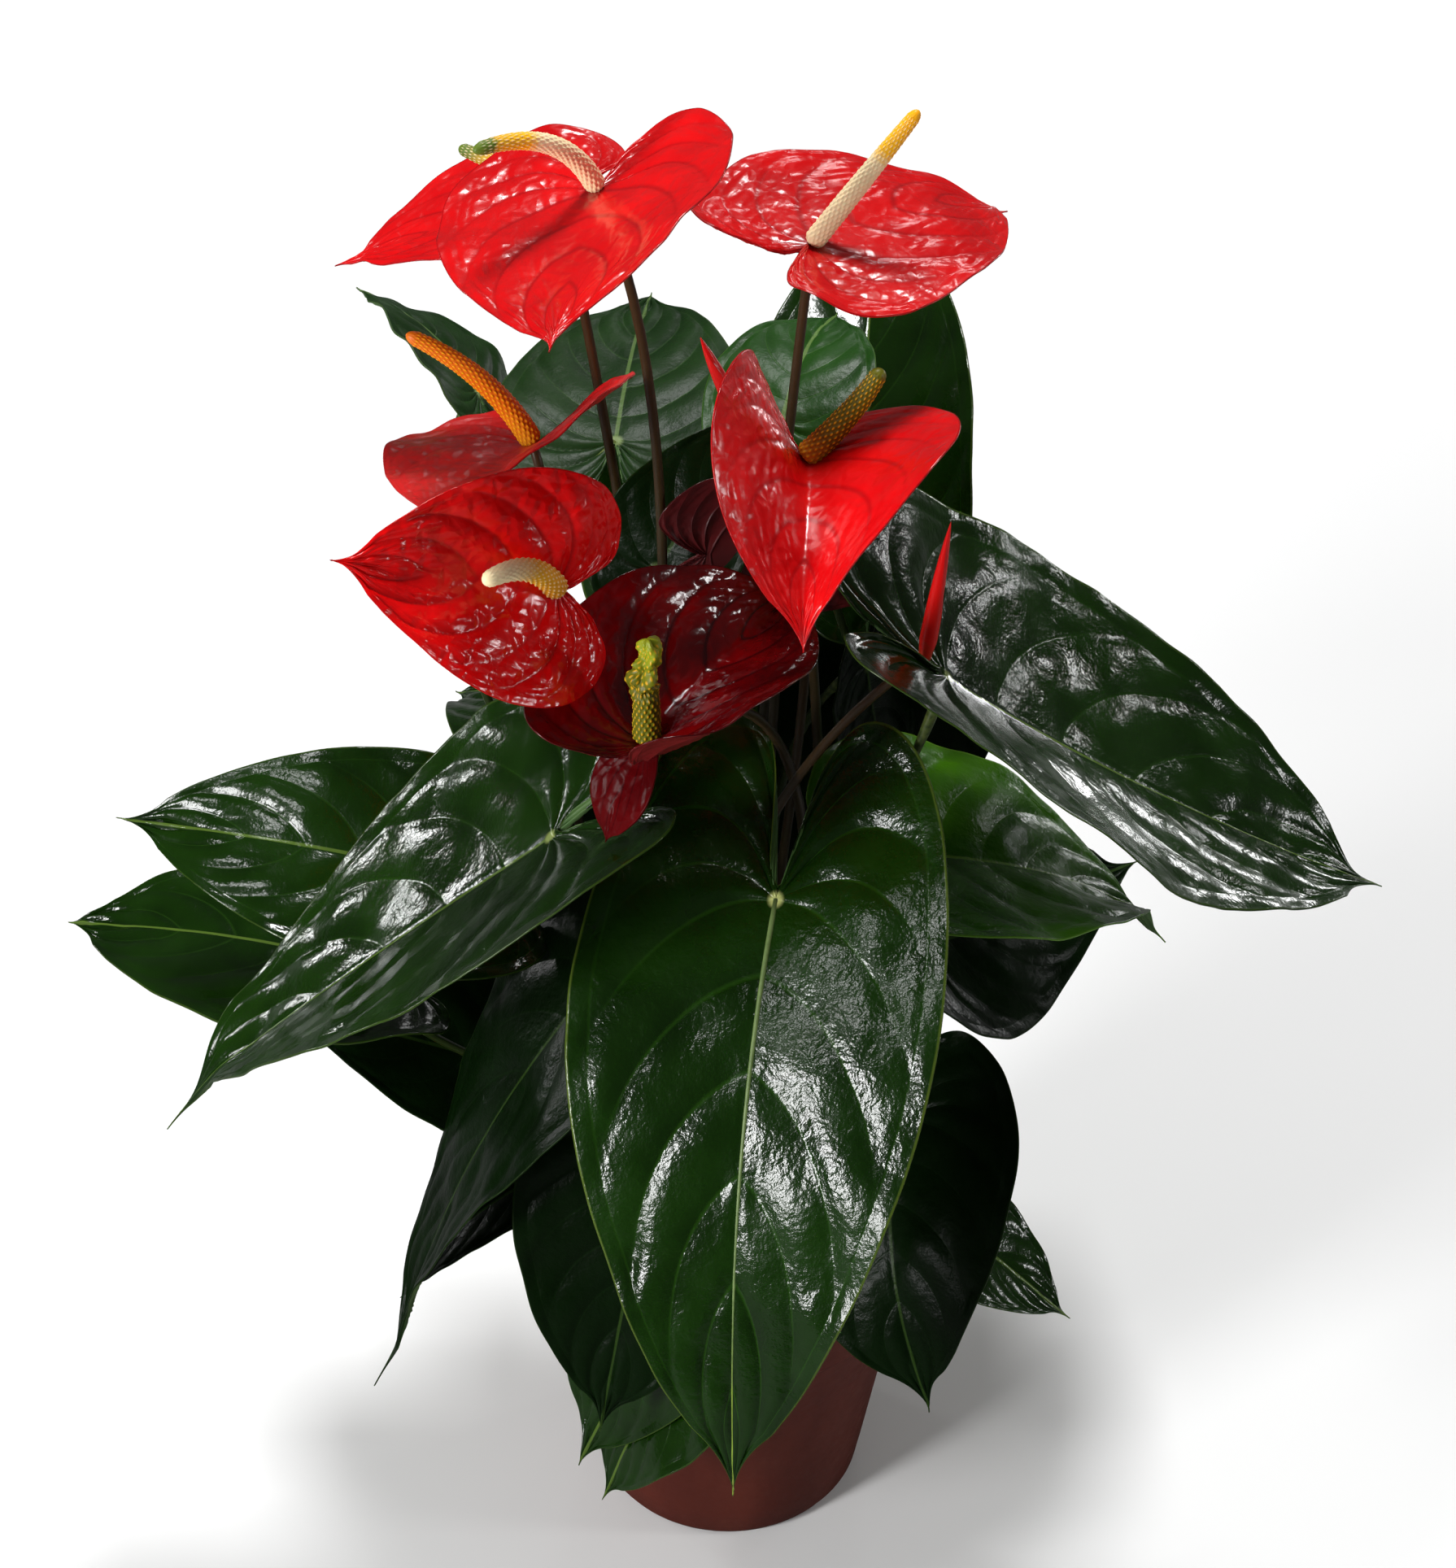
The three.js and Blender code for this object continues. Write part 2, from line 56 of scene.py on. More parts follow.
mm = 0.001   # sizes below are in millimetres

# half a blade from the notch round the lobe to the tip: (along / length, side / half width)
leafOutline = [
    (-0.02, 0), (-0.06, 0.06), (-0.2, 0.12), (-0.285, 0.3), (-0.275, 0.58), (-0.15, 0.84), (0.02, 0.97),
    (0.2, 1), (0.4, 0.9), (0.6, 0.69), (0.78, 0.42), (0.91, 0.16), (1, 0),
]
spatheOutline = [
    (-0.03, 0), (-0.13, 0.1), (-0.24, 0.24), (-0.31, 0.45), (-0.27, 0.7), (-0.13, 0.91), (0.06, 1),
    (0.26, 0.98), (0.46, 0.85), (0.65, 0.63), (0.82, 0.36), (0.94, 0.12), (1, 0),
]
tongueOutline = [
    (-0.1, 0), (-0.12, 0.2), (-0.05, 0.45), (0.08, 0.7), (0.25, 0.92),
    (0.45, 1), (0.65, 0.85), (0.85, 0.45), (1, 0),
]
lobeReach = 0.29    # how far the lobes go back past the joint, of the length
tipStart = 0.88     # where the drawn-out tip starts, of the length
rootSpread = 6      # outline points whose veins start at the stem
foldSoftening = 3   # a blade's fold is rounded over this much of it
marginWaves = 2.5   # ruffles along each half of a margin
rimVein = 0.885     # where a vein runs along inside the margin, of the half width
jointGap = 0.6      # from a blade's middle to the stem or spike that meets it
weld = 0.00002      # metres, points closer than this become one


def smooth(a, b, x):
    x = min(1, max(0, (x - a) / (b - a)))
    return x * x * (3 - 2 * x)


def bell(x, width):
    return math.exp(-(x / width) ** 2)


def outlinePoint(outline, u):
    # uniform Catmull-Rom through the outline
    last = len(outline) - 1
    i = min(int(u * last), last - 1)
    f = u * last - i
    p = [outline[min(max(k, 0), last)] for k in (i - 1, i, i + 1, i + 2)]
    out = []
    for c in (0, 1):
        v0, v1 = (p[2][c] - p[0][c]) / 2, (p[3][c] - p[1][c]) / 2
        cubic = (2 * p[1][c] - 2 * p[2][c] + v0 + v1) * f ** 3
        out.append(cubic + (-3 * p[1][c] + 3 * p[2][c] - 2 * v0 - v1) * f * f + v0 * f + p[1][c])
    return out


def bladeAxes(row):
    joint = Vector(row["joint"])
    along = Vector(row["tip"]) - joint
    length = along.length
    along.normalize()
    across = along.cross(up).normalized()
    across.rotate(Quaternion(along, math.radians(row.get("roll", 0))))
    return joint, length, along, across, across.cross(along)


def normalAtJoint(row):
    joint, length, along, across, out = bladeAxes(row)
    return (out - along * (4 * row.get("bow", 0) / length)).normalized()


# shader helpers
def makeNode(tree, kind, settings=None, inputs=None):
    node = tree.nodes.new(kind)
    for key, value in (settings or {}).items():
        setattr(node, key, value)
    for key, value in (inputs or {}).items():
        if isinstance(value, bpy.types.NodeSocket):
            tree.links.new(value, node.inputs[key])
        else:
            node.inputs[key].default_value = value
    return node


def maths(tree, kind, a, b=0.5):
    return makeNode(tree, "ShaderNodeMath", {"operation": kind}, {0: a, 1: b}).outputs[0]


def ranged(tree, value, a, b, c=0.0, d=1.0):
    node = makeNode(tree, "ShaderNodeMapRange", {"interpolation_type": "SMOOTHSTEP"},
                    {"Value": value, "From Min": a, "From Max": b, "To Min": c, "To Max": d})
    return node.outputs[0]


def mixed(tree, factor, a, b):
    return makeNode(tree, "ShaderNodeMix", {"data_type": "RGBA"}, {0: factor, 6: a, 7: b}).outputs[2]


def lengthOf(tree, vector):
    node = makeNode(tree, "ShaderNodeVectorMath", {"operation": "LENGTH"}, {0: vector})
    return node.outputs["Value"]


def noiseAt(tree, vector, scale, detail=2, roughness=0.5):
    node = makeNode(tree, "ShaderNodeTexNoise", {},
                    {"Vector": vector, "Scale": scale, "Detail": detail, "Roughness": roughness})
    return node.outputs["Fac"]


def bumped(tree, height, strength, distance, normal=None):
    inputs = {"Height": height, "Strength": strength, "Distance": distance}
    if normal:
        inputs["Normal"] = normal
    return makeNode(tree, "ShaderNodeBump", {}, inputs).outputs[0]


def newMaterial(name):
    material = bpy.data.materials.new(name)
    material.use_nodes = True
    tree = material.node_tree
    tree.nodes.clear()
    shader = makeNode(tree, "ShaderNodeBsdfPrincipled")
    output = makeNode(tree, "ShaderNodeOutputMaterial")
    tree.links.new(shader.outputs[0], output.inputs[0])
    coords = makeNode(tree, "ShaderNodeTexCoord")
    return material, tree, shader, coords.outputs["Object"]


def rgb(r, g, b):
    # from screen values 0..255
    linear = [((c / 255 + 0.055) / 1.055) ** 2.4 if c > 10 else c / 255 / 12.92 for c in (r, g, b)]
    return (*linear, 1)


def uvParts(tree, name):
    # the whole coordinate, then its two numbers
    uv = makeNode(tree, "ShaderNodeUVMap", {"uv_map": name}).outputs[0]
    parts = makeNode(tree, "ShaderNodeSeparateXYZ", {}, {0: uv})
    return uv, parts.outputs[0], parts.outputs[1]


def setSockets(shader, values):
    for key, value in values.items():
        shader.inputs[key].default_value = value


def leafMaterial(name, look):
    material, tree, shader, coords = newMaterial(name)
    phase, reach = uvParts(tree, "veins")[1:]
    placeUv, along, side = uvParts(tree, "place")   # metres from the joint
    # side veins, fading towards the margin, and the one that runs along inside it
    fold = maths(tree, "PINGPONG", phase, 0.5)
    lateral = ranged(tree, fold, 0.0, 0.05, 1, 0)
    lateral = maths(tree, "MULTIPLY", lateral, ranged(tree, reach, 0.5, 0.9, 1, 0.1))
    inside = maths(tree, "ABSOLUTE", maths(tree, "SUBTRACT", reach, rimVein))
    lateral = maths(tree, "MAXIMUM", lateral, ranged(tree, inside, 0.0, 0.014, 0.5, 0))
    lateral = maths(tree, "MULTIPLY", lateral, look["veinShare"])
    midWidth = ranged(tree, along, 0, 0.2, 0.001, 0.0003)
    midrib = ranged(tree, maths(tree, "DIVIDE", maths(tree, "ABSOLUTE", side), midWidth), 0.6, 1.0, 1, 0)
    midrib = maths(tree, "MULTIPLY", midrib, ranged(tree, along, -0.001, 0.001))
    spot = ranged(tree, lengthOf(tree, placeUv), 0.0015, 0.0038, 1, 0)
    margin = ranged(tree, reach, 0.982, 0.995)
    margin = maths(tree, "MULTIPLY", margin, ranged(tree, along, 0.06, 0.2, 1, 0.6))
    # blotches, and lighter flesh between the veins
    cloud = noiseAt(tree, coords, 28, 3)
    between = ranged(tree, fold, 0.05, 0.4)
    flesh = mixed(tree, ranged(tree, cloud, 0.3, 0.7), look["dark"], look["mid"])
    flesh = mixed(tree, maths(tree, "MULTIPLY", between, 0.3), flesh, look["mid"])
    colour = mixed(tree, lateral, flesh, look["vein"])
    colour = mixed(tree, midrib, colour, look["rib"])
    colour = mixed(tree, maths(tree, "MULTIPLY", margin, 0.35), colour, look["rib"])
    colour = mixed(tree, spot, colour, look["spot"])
    tree.links.new(colour, shader.inputs["Base Color"])
    # crinkled skin
    grain = noiseAt(tree, coords, 900, 2)
    crinkle = noiseAt(tree, coords, 230, 3, 0.6)
    normal = bumped(tree, lateral, 0.3, -0.0008)
    normal = bumped(tree, crinkle, look["crinkle"], 0.0011, normal)
    normal = bumped(tree, grain, 0.1, 0.0003, normal)
    tree.links.new(normal, shader.inputs["Normal"])
    rough = ranged(tree, cloud, 0.3, 0.7, look["rough"], look["rough"] + 0.07)
    tree.links.new(rough, shader.inputs["Roughness"])
    setSockets(shader, {"Specular IOR Level": look["shine"], "Subsurface Weight": 0.04,
                        "Subsurface Radius": (0.2, 0.6, 0.1), "Subsurface Scale": 0.002})
    return material


def matteMaterial(name, base, other, rough, scale=60, bump=0.2, distance=0.0006):
    material, tree, shader, coords = newMaterial(name)
    cloud = noiseAt(tree, coords, scale, 4, 0.6)
    tree.links.new(mixed(tree, ranged(tree, cloud, 0.3, 0.7), base, other), shader.inputs["Base Color"])
    tree.links.new(bumped(tree, cloud, bump, distance), shader.inputs["Normal"])
    shader.inputs["Roughness"].default_value = rough
    return material


def undersideMaterial(name, base, other, vein, rough):
    # the veins stand out on the back of a blade
    material, tree, shader, coords = newMaterial(name)
    phase, reach = uvParts(tree, "veins")[1:]
    lateral = ranged(tree, maths(tree, "PINGPONG", phase, 0.5), 0.0, 0.07, 1, 0)
    lateral = maths(tree, "MULTIPLY", lateral, ranged(tree, reach, 0.4, 0.9, 0.7, 0.1))
    cloud = noiseAt(tree, coords, 45, 3)
    colour = mixed(tree, ranged(tree, cloud, 0.3, 0.7), base, other)
    tree.links.new(mixed(tree, lateral, colour, vein), shader.inputs["Base Color"])
    normal = bumped(tree, lateral, 0.5, 0.0012)
    normal = bumped(tree, noiseAt(tree, coords, 260, 2), 0.2, 0.0006, normal)
    tree.links.new(normal, shader.inputs["Normal"])
    setSockets(shader, {"Roughness": rough, "Specular IOR Level": 0.2})
    return material


def spatheMaterial(name, look):
    material, tree, shader, coords = newMaterial(name)
    phase, reach = uvParts(tree, "veins")[1:]
    placeUv = uvParts(tree, "place")[0]   # metres from the joint
    lateral = ranged(tree, maths(tree, "PINGPONG", phase, 0.5), 0.0, 0.12, 1, 0)
    lateral = maths(tree, "MULTIPLY", lateral, ranged(tree, reach, 0.5, 0.95, 1, 0.2))
    cloud = noiseAt(tree, coords, 40, 3)
    colour = mixed(tree, ranged(tree, cloud, 0.3, 0.7), look["base"], look["other"])
    colour = mixed(tree, maths(tree, "MULTIPLY", lateral, look["veinShare"]), colour, look["vein"])
    throat = ranged(tree, lengthOf(tree, placeUv), 0.002, 0.01, 0.7, 0)
    colour = mixed(tree, throat, colour, look["vein"])
    margin = ranged(tree, reach, 0.985, 0.998)
    colour = mixed(tree, maths(tree, "MULTIPLY", margin, 0.5), colour, look["vein"])
    tree.links.new(colour, shader.inputs["Base Color"])
    # wax wrinkles and a net of small puffed cells over the modelled blisters
    ripple = noiseAt(tree, coords, 150, 2)
    normal = bumped(tree, ripple, look["ripple"], 0.0013)
    net = makeNode(tree, "ShaderNodeTexVoronoi", {"feature": "DISTANCE_TO_EDGE"},
                   {"Vector": coords, "Scale": 135})
    cells = ranged(tree, net.outputs["Distance"], 0, 0.35)
    normal = bumped(tree, cells, look["net"], 0.0012, normal)
    normal = bumped(tree, noiseAt(tree, coords, 480, 2), 0.12, 0.0005, normal)
    tree.links.new(normal, shader.inputs["Normal"])
    setSockets(shader, {"Roughness": look["rough"], "Specular IOR Level": look["shine"],
                        "Coat Weight": look["coat"], "Coat Roughness": 0.07, "Subsurface Weight": 0.05,
                        "Subsurface Radius": (0.8, 0.1, 0.1), "Subsurface Scale": 0.002})
    return material


def rampMaterial(name, stops, rough, noiseScale=400, bump=0.15, mottle=0.25, dots=None, shine=0.25):
    # colour runs along the piece, from 0 at its foot to 1 at its tip
    material, tree, shader, coords = newMaterial(name)
    along = uvParts(tree, "run")[2]
    cloud = noiseAt(tree, coords, noiseScale, 2)
    place = maths(tree, "ADD", along, maths(tree, "MULTIPLY", maths(tree, "SUBTRACT", cloud, 0.5), mottle))
    ramp = makeNode(tree, "ShaderNodeValToRGB", {}, {0: place})
    elements = ramp.color_ramp.elements
    while len(elements) > 1:
        elements.remove(elements[0])
    elements[0].position, elements[0].color = stops[0]
    for position, colour in stops[1:]:
        elements.new(position).color = colour
    colour = ramp.outputs[0]
    if dots:
        knob = uvParts(tree, "relief")[1]
        colour = mixed(tree, ranged(tree, knob, 0.45, 0.9, 0, 0.75), colour, dots)
    tree.links.new(colour, shader.inputs["Base Color"])
    tree.links.new(bumped(tree, cloud, bump, 0.0004), shader.inputs["Normal"])
    setSockets(shader, {"Roughness": rough, "Specular IOR Level": shine, "Subsurface Weight": 0.05,
                        "Subsurface Scale": 0.002})
    return material


# mesh helpers
def placeObject(name, data):
    thing = bpy.data.objects.new(name, data)
    bpy.context.scene.collection.objects.link(thing)
    return thing


def thicken(piece, thick):
    shell = piece.modifiers.new("thickness", "SOLIDIFY")
    shell.thickness = thick * mm
    shell.offset = 0
    return shell


def finishPiece(name, bm, materials, nodes):
    bmesh.ops.remove_doubles(bm, verts=bm.verts, dist=weld)
    bmesh.ops.dissolve_degenerate(bm, edges=bm.edges, dist=weld)
    mesh = bpy.data.meshes.new(name)
    for face in bm.faces:
        face.smooth = True
    bm.to_mesh(mesh)
    bm.free()
    piece = placeObject(name, mesh)
    for material in materials:
        mesh.materials.append(material)
    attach(piece, "root")
    if nodes:
        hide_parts(*nodes)
    return piece


def archAt(row, s):
    if s > 1:
        return 0
    if s > 0:
        return 4 * row["bow"] * s * (1 - s)
    return 4 * row["bow"] * s + row.get("lobe", 0) * (s / lobeReach) ** 2


def relief(blade, look, q, w, s, side, hand, phase):
    # height of the skin over the plain blade: sunken veins, puffed flesh, cross wrinkles, ruffled margin
    halfWidth, seed = blade["halfWidth"], blade["seed"]
    size = min(1, halfWidth / 50)   # small blades are flatter
    furrow = 1 - abs(math.sin(math.pi * phase)) ** 0.6
    presence = 0.65 + 0.8 * noise.noise(Vector((math.floor(phase + 0.5) * 1.7, hand * 4, 9)) + seed)
    height = -look["quilt"] * blade["relief"] * size * presence * furrow
    height *= smooth(0, 0.12, w) * (1 - smooth(0.84, 1, w))
    height -= look["groove"] * bell(side, 1.6) * smooth(-0.01, 0.05, s) * (1 - smooth(0.8, 1, s))
    height -= look["collar"] * bell(w - rimVein, 0.02)
    at = Vector((s * blade["length"], side, hand * 30))
    height += look["uneven"] * size * noise.noise(at * 0.033 + seed) * smooth(0, 0.3, w)
    height += 0.35 * look["uneven"] * size * noise.noise(at * 0.08 + seed) * smooth(0, 0.25, w)
    wander = noise.noise(Vector((phase * 0.8, w * halfWidth * 0.09, hand * 3)) + seed)
    cross = w * halfWidth / look["puff"] + 1.6 * wander + 0.37 * math.floor(phase)
    puffs = abs(math.sin(math.pi * cross)) ** 0.7 * abs(math.sin(math.pi * phase)) ** 0.7
    height += look["blister"] * puffs * smooth(0.1, 0.35, w) * (1 - 0.7 * smooth(0.9, 1, w))
    height += look["ripple"] * w ** 3 * noise.noise(Vector((q * 10.8 / blade["last"], hand * 3, 2)) + seed)
    return height


def bladePiece(name, row, outline, look, materials, nodes):
    joint, length, along, across, out = bladeAxes(row)
    last = len(outline) - 1
    halfWidth = row["width"] / 2
    tail = row.get("tail", look["tail"])
    curl = row.get("curl", (0, 0))
    seed = Vector((length * 0.37, row["width"] * 0.11, 5))
    blade = {"length": length, "halfWidth": halfWidth, "last": last, "seed": seed,
             "relief": row.get("relief", 1)}

    def surface(s, t, w, q, hand):
        # the long thin tip
        x = max(0, (s - tipStart) / (1 - tipStart))
        flat = 1 - smooth(0.4, 0.95, x)
        tipBend = Vector((0, 0, 0))
        if x > 0:
            t *= (1 - min(x, 1)) ** 0.8
            s += tail * x * x
            tipBend = (across * curl[0] - out * curl[1]) * (x * x)
        side = t * halfWidth
        lift = row["fold"] * (math.hypot(side, foldSoftening) - foldSoftening)
        turns = 2 * math.pi * marginWaves * q / last + (0 if hand > 0 else 2)
        wave = row.get("wave", 0) * w * w * math.sin(turns)
        phase = q * look["veinsPerStep"] - look["veinBend"] * w * w
        skin = relief(blade, look, q, w, s, side, hand, phase)
        spin = Quaternion(along, math.radians(row.get("twist", 0)) * max(s, -0.3))
        sideways, outward = across.copy(), out.copy()
        sideways.rotate(spin)
        outward.rotate(spin)
        position = joint + along * (s * length) + sideways * side
        position += outward * (archAt(row, s) + lift + (wave + skin) * flat) + tipBend
        return position, s * length * mm, side * mm, phase

    rows = int(look["rows"] + length * look["rowsPerMm"])
    columns = 2 * int(look["columns"] + halfWidth * look["columnsPerMm"])
    bm = bmesh.new()
    bmesh.ops.create_grid(bm, x_segments=rows, y_segments=columns, size=1)
    veins = bm.loops.layers.uv.new("veins")
    place = bm.loops.layers.uv.new("place")
    facts = {}
    for vert in bm.verts:
        u = (vert.co.x + 1) / 2
        w = 1 - (1 - min(1, abs(vert.co.y))) ** 1.25   # closer together towards the margin
        hand = 1 if vert.co.y > 0 else -1
        q = u * last
        rim = outlinePoint(outline, u)
        root = max(0, (q - rootSpread) / (last - rootSpread)) ** 1.2
        position, s, side, phase = surface(root + (rim[0] - root) * w, hand * rim[1] * w, w, q, hand)
        facts[vert.index] = (phase, w, s, side)
        vert.co = position * mm
    for face in bm.faces:
        for loop in face.loops:
            phase, w, s, side = facts[loop.vert.index]
            loop[veins].uv = (phase, w)
            loop[place].uv = (s, side)
    bm.normal_update()
    lean = sum((face.normal * face.calc_area() for face in bm.faces), Vector())
    if lean.dot(out) < 0:
        bmesh.ops.reverse_faces(bm, faces=bm.faces)
    shell = thicken(finishPiece(name, bm, materials, nodes), look["thick"])
    shell.use_quality_normals = True
    shell.material_offset = 1


def stemPoints(row, end, way, share):
    # upright in the soil, then one curve that arrives at end along way
    foot = Vector((*row["foot"], 0))
    bottom, emerge = foot + up * stem["bottom"], foot + up * stem["emerge"]
    span = (end - emerge).length
    rise = emerge + Vector((*row["lean"], span * stem["lift"]))
    reach = end - way * (span * share)
    points = [bottom, bottom.lerp(emerge, 0.6)]
    for i in range(stem["steps"] + 1):
        t = i / stem["steps"]
        low = emerge * (1 - t) ** 3 + rise * (3 * t * (1 - t) ** 2)
        points.append(low + reach * (3 * t * t * (1 - t)) + end * t ** 3)
    return points


def tubePiece(name, points, radii, sides, material, nodes, shape=None):
    # a closed tube through points; shape gives (radius factor, knob height) at a ring and an angle
    bm = bmesh.new()
    count = len(points)
    bmesh.ops.create_grid(bm, x_segments=count - 1, y_segments=sides, size=1)
    run = bm.loops.layers.uv.new("run")
    reliefLayer = bm.loops.layers.uv.new("relief")
    tangents = [(points[min(i + 1, count - 1)] - points[max(i - 1, 0)]).normalized() for i in range(count)]
    sideways, lengths = [tangents[0].orthogonal().normalized()], [0]
    for i in range(1, count):
        turned = sideways[-1].copy()
        turned.rotate(tangents[i - 1].rotation_difference(tangents[i]))
        sideways.append(turned)
        lengths.append(lengths[-1] + (points[i] - points[i - 1]).length)
    facts = {}
    for vert in bm.verts:
        i = round((vert.co.x + 1) / 2 * (count - 1))
        angle = (vert.co.y + 1) * math.pi
        factor, knob = shape(i, angle) if shape else (1, 0)
        other = tangents[i].cross(sideways[i])
        facts[vert.index] = (angle / (2 * math.pi), lengths[i] / lengths[-1], knob)
        radial = sideways[i] * math.cos(angle) + other * math.sin(angle)
        vert.co = (points[i] + radial * (radii[i] * factor)) * mm
    for face in bm.faces:
        for loop in face.loops:
            around, along, knob = facts[loop.vert.index]
            loop[run].uv = (around, along)
            loop[reliefLayer].uv = (knob, 0)
    bmesh.ops.remove_doubles(bm, verts=bm.verts, dist=0.000005)
    bmesh.ops.holes_fill(bm, edges=[edge for edge in bm.edges if edge.is_boundary], sides=0)
    bmesh.ops.recalc_face_normals(bm, faces=bm.faces)
    finishPiece(name, bm, [material], nodes)


stem = {"bottom": 118, "emerge": 145, "lift": 0.45, "bendShare": 0.28, "budBendShare": 0.2, "upward": 0.8,
        "steps": 28, "sides": 12, "foot": 2.1, "neck": 1.6, "stalkFoot": 2.2, "stalkNeck": 1.8,
        "knee": 0.9, "kneeAt": 0.955}


def stemRadii(count, foot, neck, knee):
    # thicker at the crown, with a swollen knee just under the blade
    radii = []
    for i in range(count):
        u = i / (count - 1)
        swelling = knee * bell(u - stem["kneeAt"], 0.028) + bell(u, 0.09)
        radii.append(foot + (neck - foot) * u + swelling)
    return radii


# materials of leaves and stems
looks = {
    "front": {"dark": rgb(10, 32, 2), "mid": rgb(18, 47, 3), "vein": rgb(40, 78, 14),
              "rib": rgb(128, 150, 58), "spot": rgb(190, 196, 120), "veinShare": 0.4, "rough": 0.16,
              "shine": 0.38, "crinkle": 0.5},
    "dark": {"dark": rgb(9, 29, 2), "mid": rgb(17, 43, 3), "vein": rgb(32, 62, 12), "rib": rgb(72, 94, 34),
             "spot": rgb(130, 146, 80), "veinShare": 0.35, "rough": 0.14, "shine": 0.36, "crinkle": 0.28},
    # deep: the dark leaf skin made near-black and dull, painted shade for leaves deep in the crown
    "deep": {"dark": rgb(5, 17, 3), "mid": rgb(7, 24, 4), "vein": rgb(16, 36, 10), "rib": rgb(36, 56, 18),
             "spot": rgb(70, 84, 44), "veinShare": 0.3, "rough": 0.28, "shine": 0.08, "crinkle": 0.4},
    "bright": {"dark": rgb(34, 76, 4), "mid": rgb(60, 108, 8), "vein": rgb(70, 112, 28),
               "rib": rgb(106, 140, 50), "spot": rgb(150, 170, 96), "veinShare": 0.35, "rough": 0.24,
               "shine": 0.22, "crinkle": 0.4},
    "satin": {"dark": rgb(20, 54, 10), "mid": rgb(32, 74, 18), "vein": rgb(56, 98, 34),
              "rib": rgb(88, 120, 56), "spot": rgb(120, 140, 90), "veinShare": 0.35, "rough": 0.34,
              "shine": 0.15, "crinkle": 0.3},
    "matte": {"dark": rgb(17, 38, 13), "mid": rgb(28, 54, 20), "vein": rgb(56, 84, 42),
              "rib": rgb(80, 104, 56), "spot": rgb(120, 140, 90), "veinShare": 0.35, "rough": 0.38,
              "shine": 0.12, "crinkle": 0.3},
}
leafMaterials = {key: leafMaterial("leaf " + key, look) for key, look in looks.items()}
leafBack = undersideMaterial("leaf underside", rgb(58, 88, 44), rgb(76, 104, 56), rgb(112, 134, 76), 0.5)
# stem colours: the stems' own greens and browns, darkened partly as painted shade for the inside of the
# crown
petioleShades = [(0.0, rgb(90, 64, 36)), (0.12, rgb(44, 40, 18)), (0.5, rgb(26, 36, 12)),
                 (0.9, rgb(42, 56, 20)), (1.0, rgb(84, 96, 42))]
stalkShades = [(0.0, rgb(80, 54, 32)), (0.2, rgb(34, 30, 12)), (0.7, rgb(46, 36, 16)),
               (1.0, rgb(64, 42, 22))]
petioleGreen = rampMaterial("petiole", petioleShades, 0.4)
stalkBrown = rampMaterial("stalk", stalkShades, 0.4)
print("materials ready", flush=True)

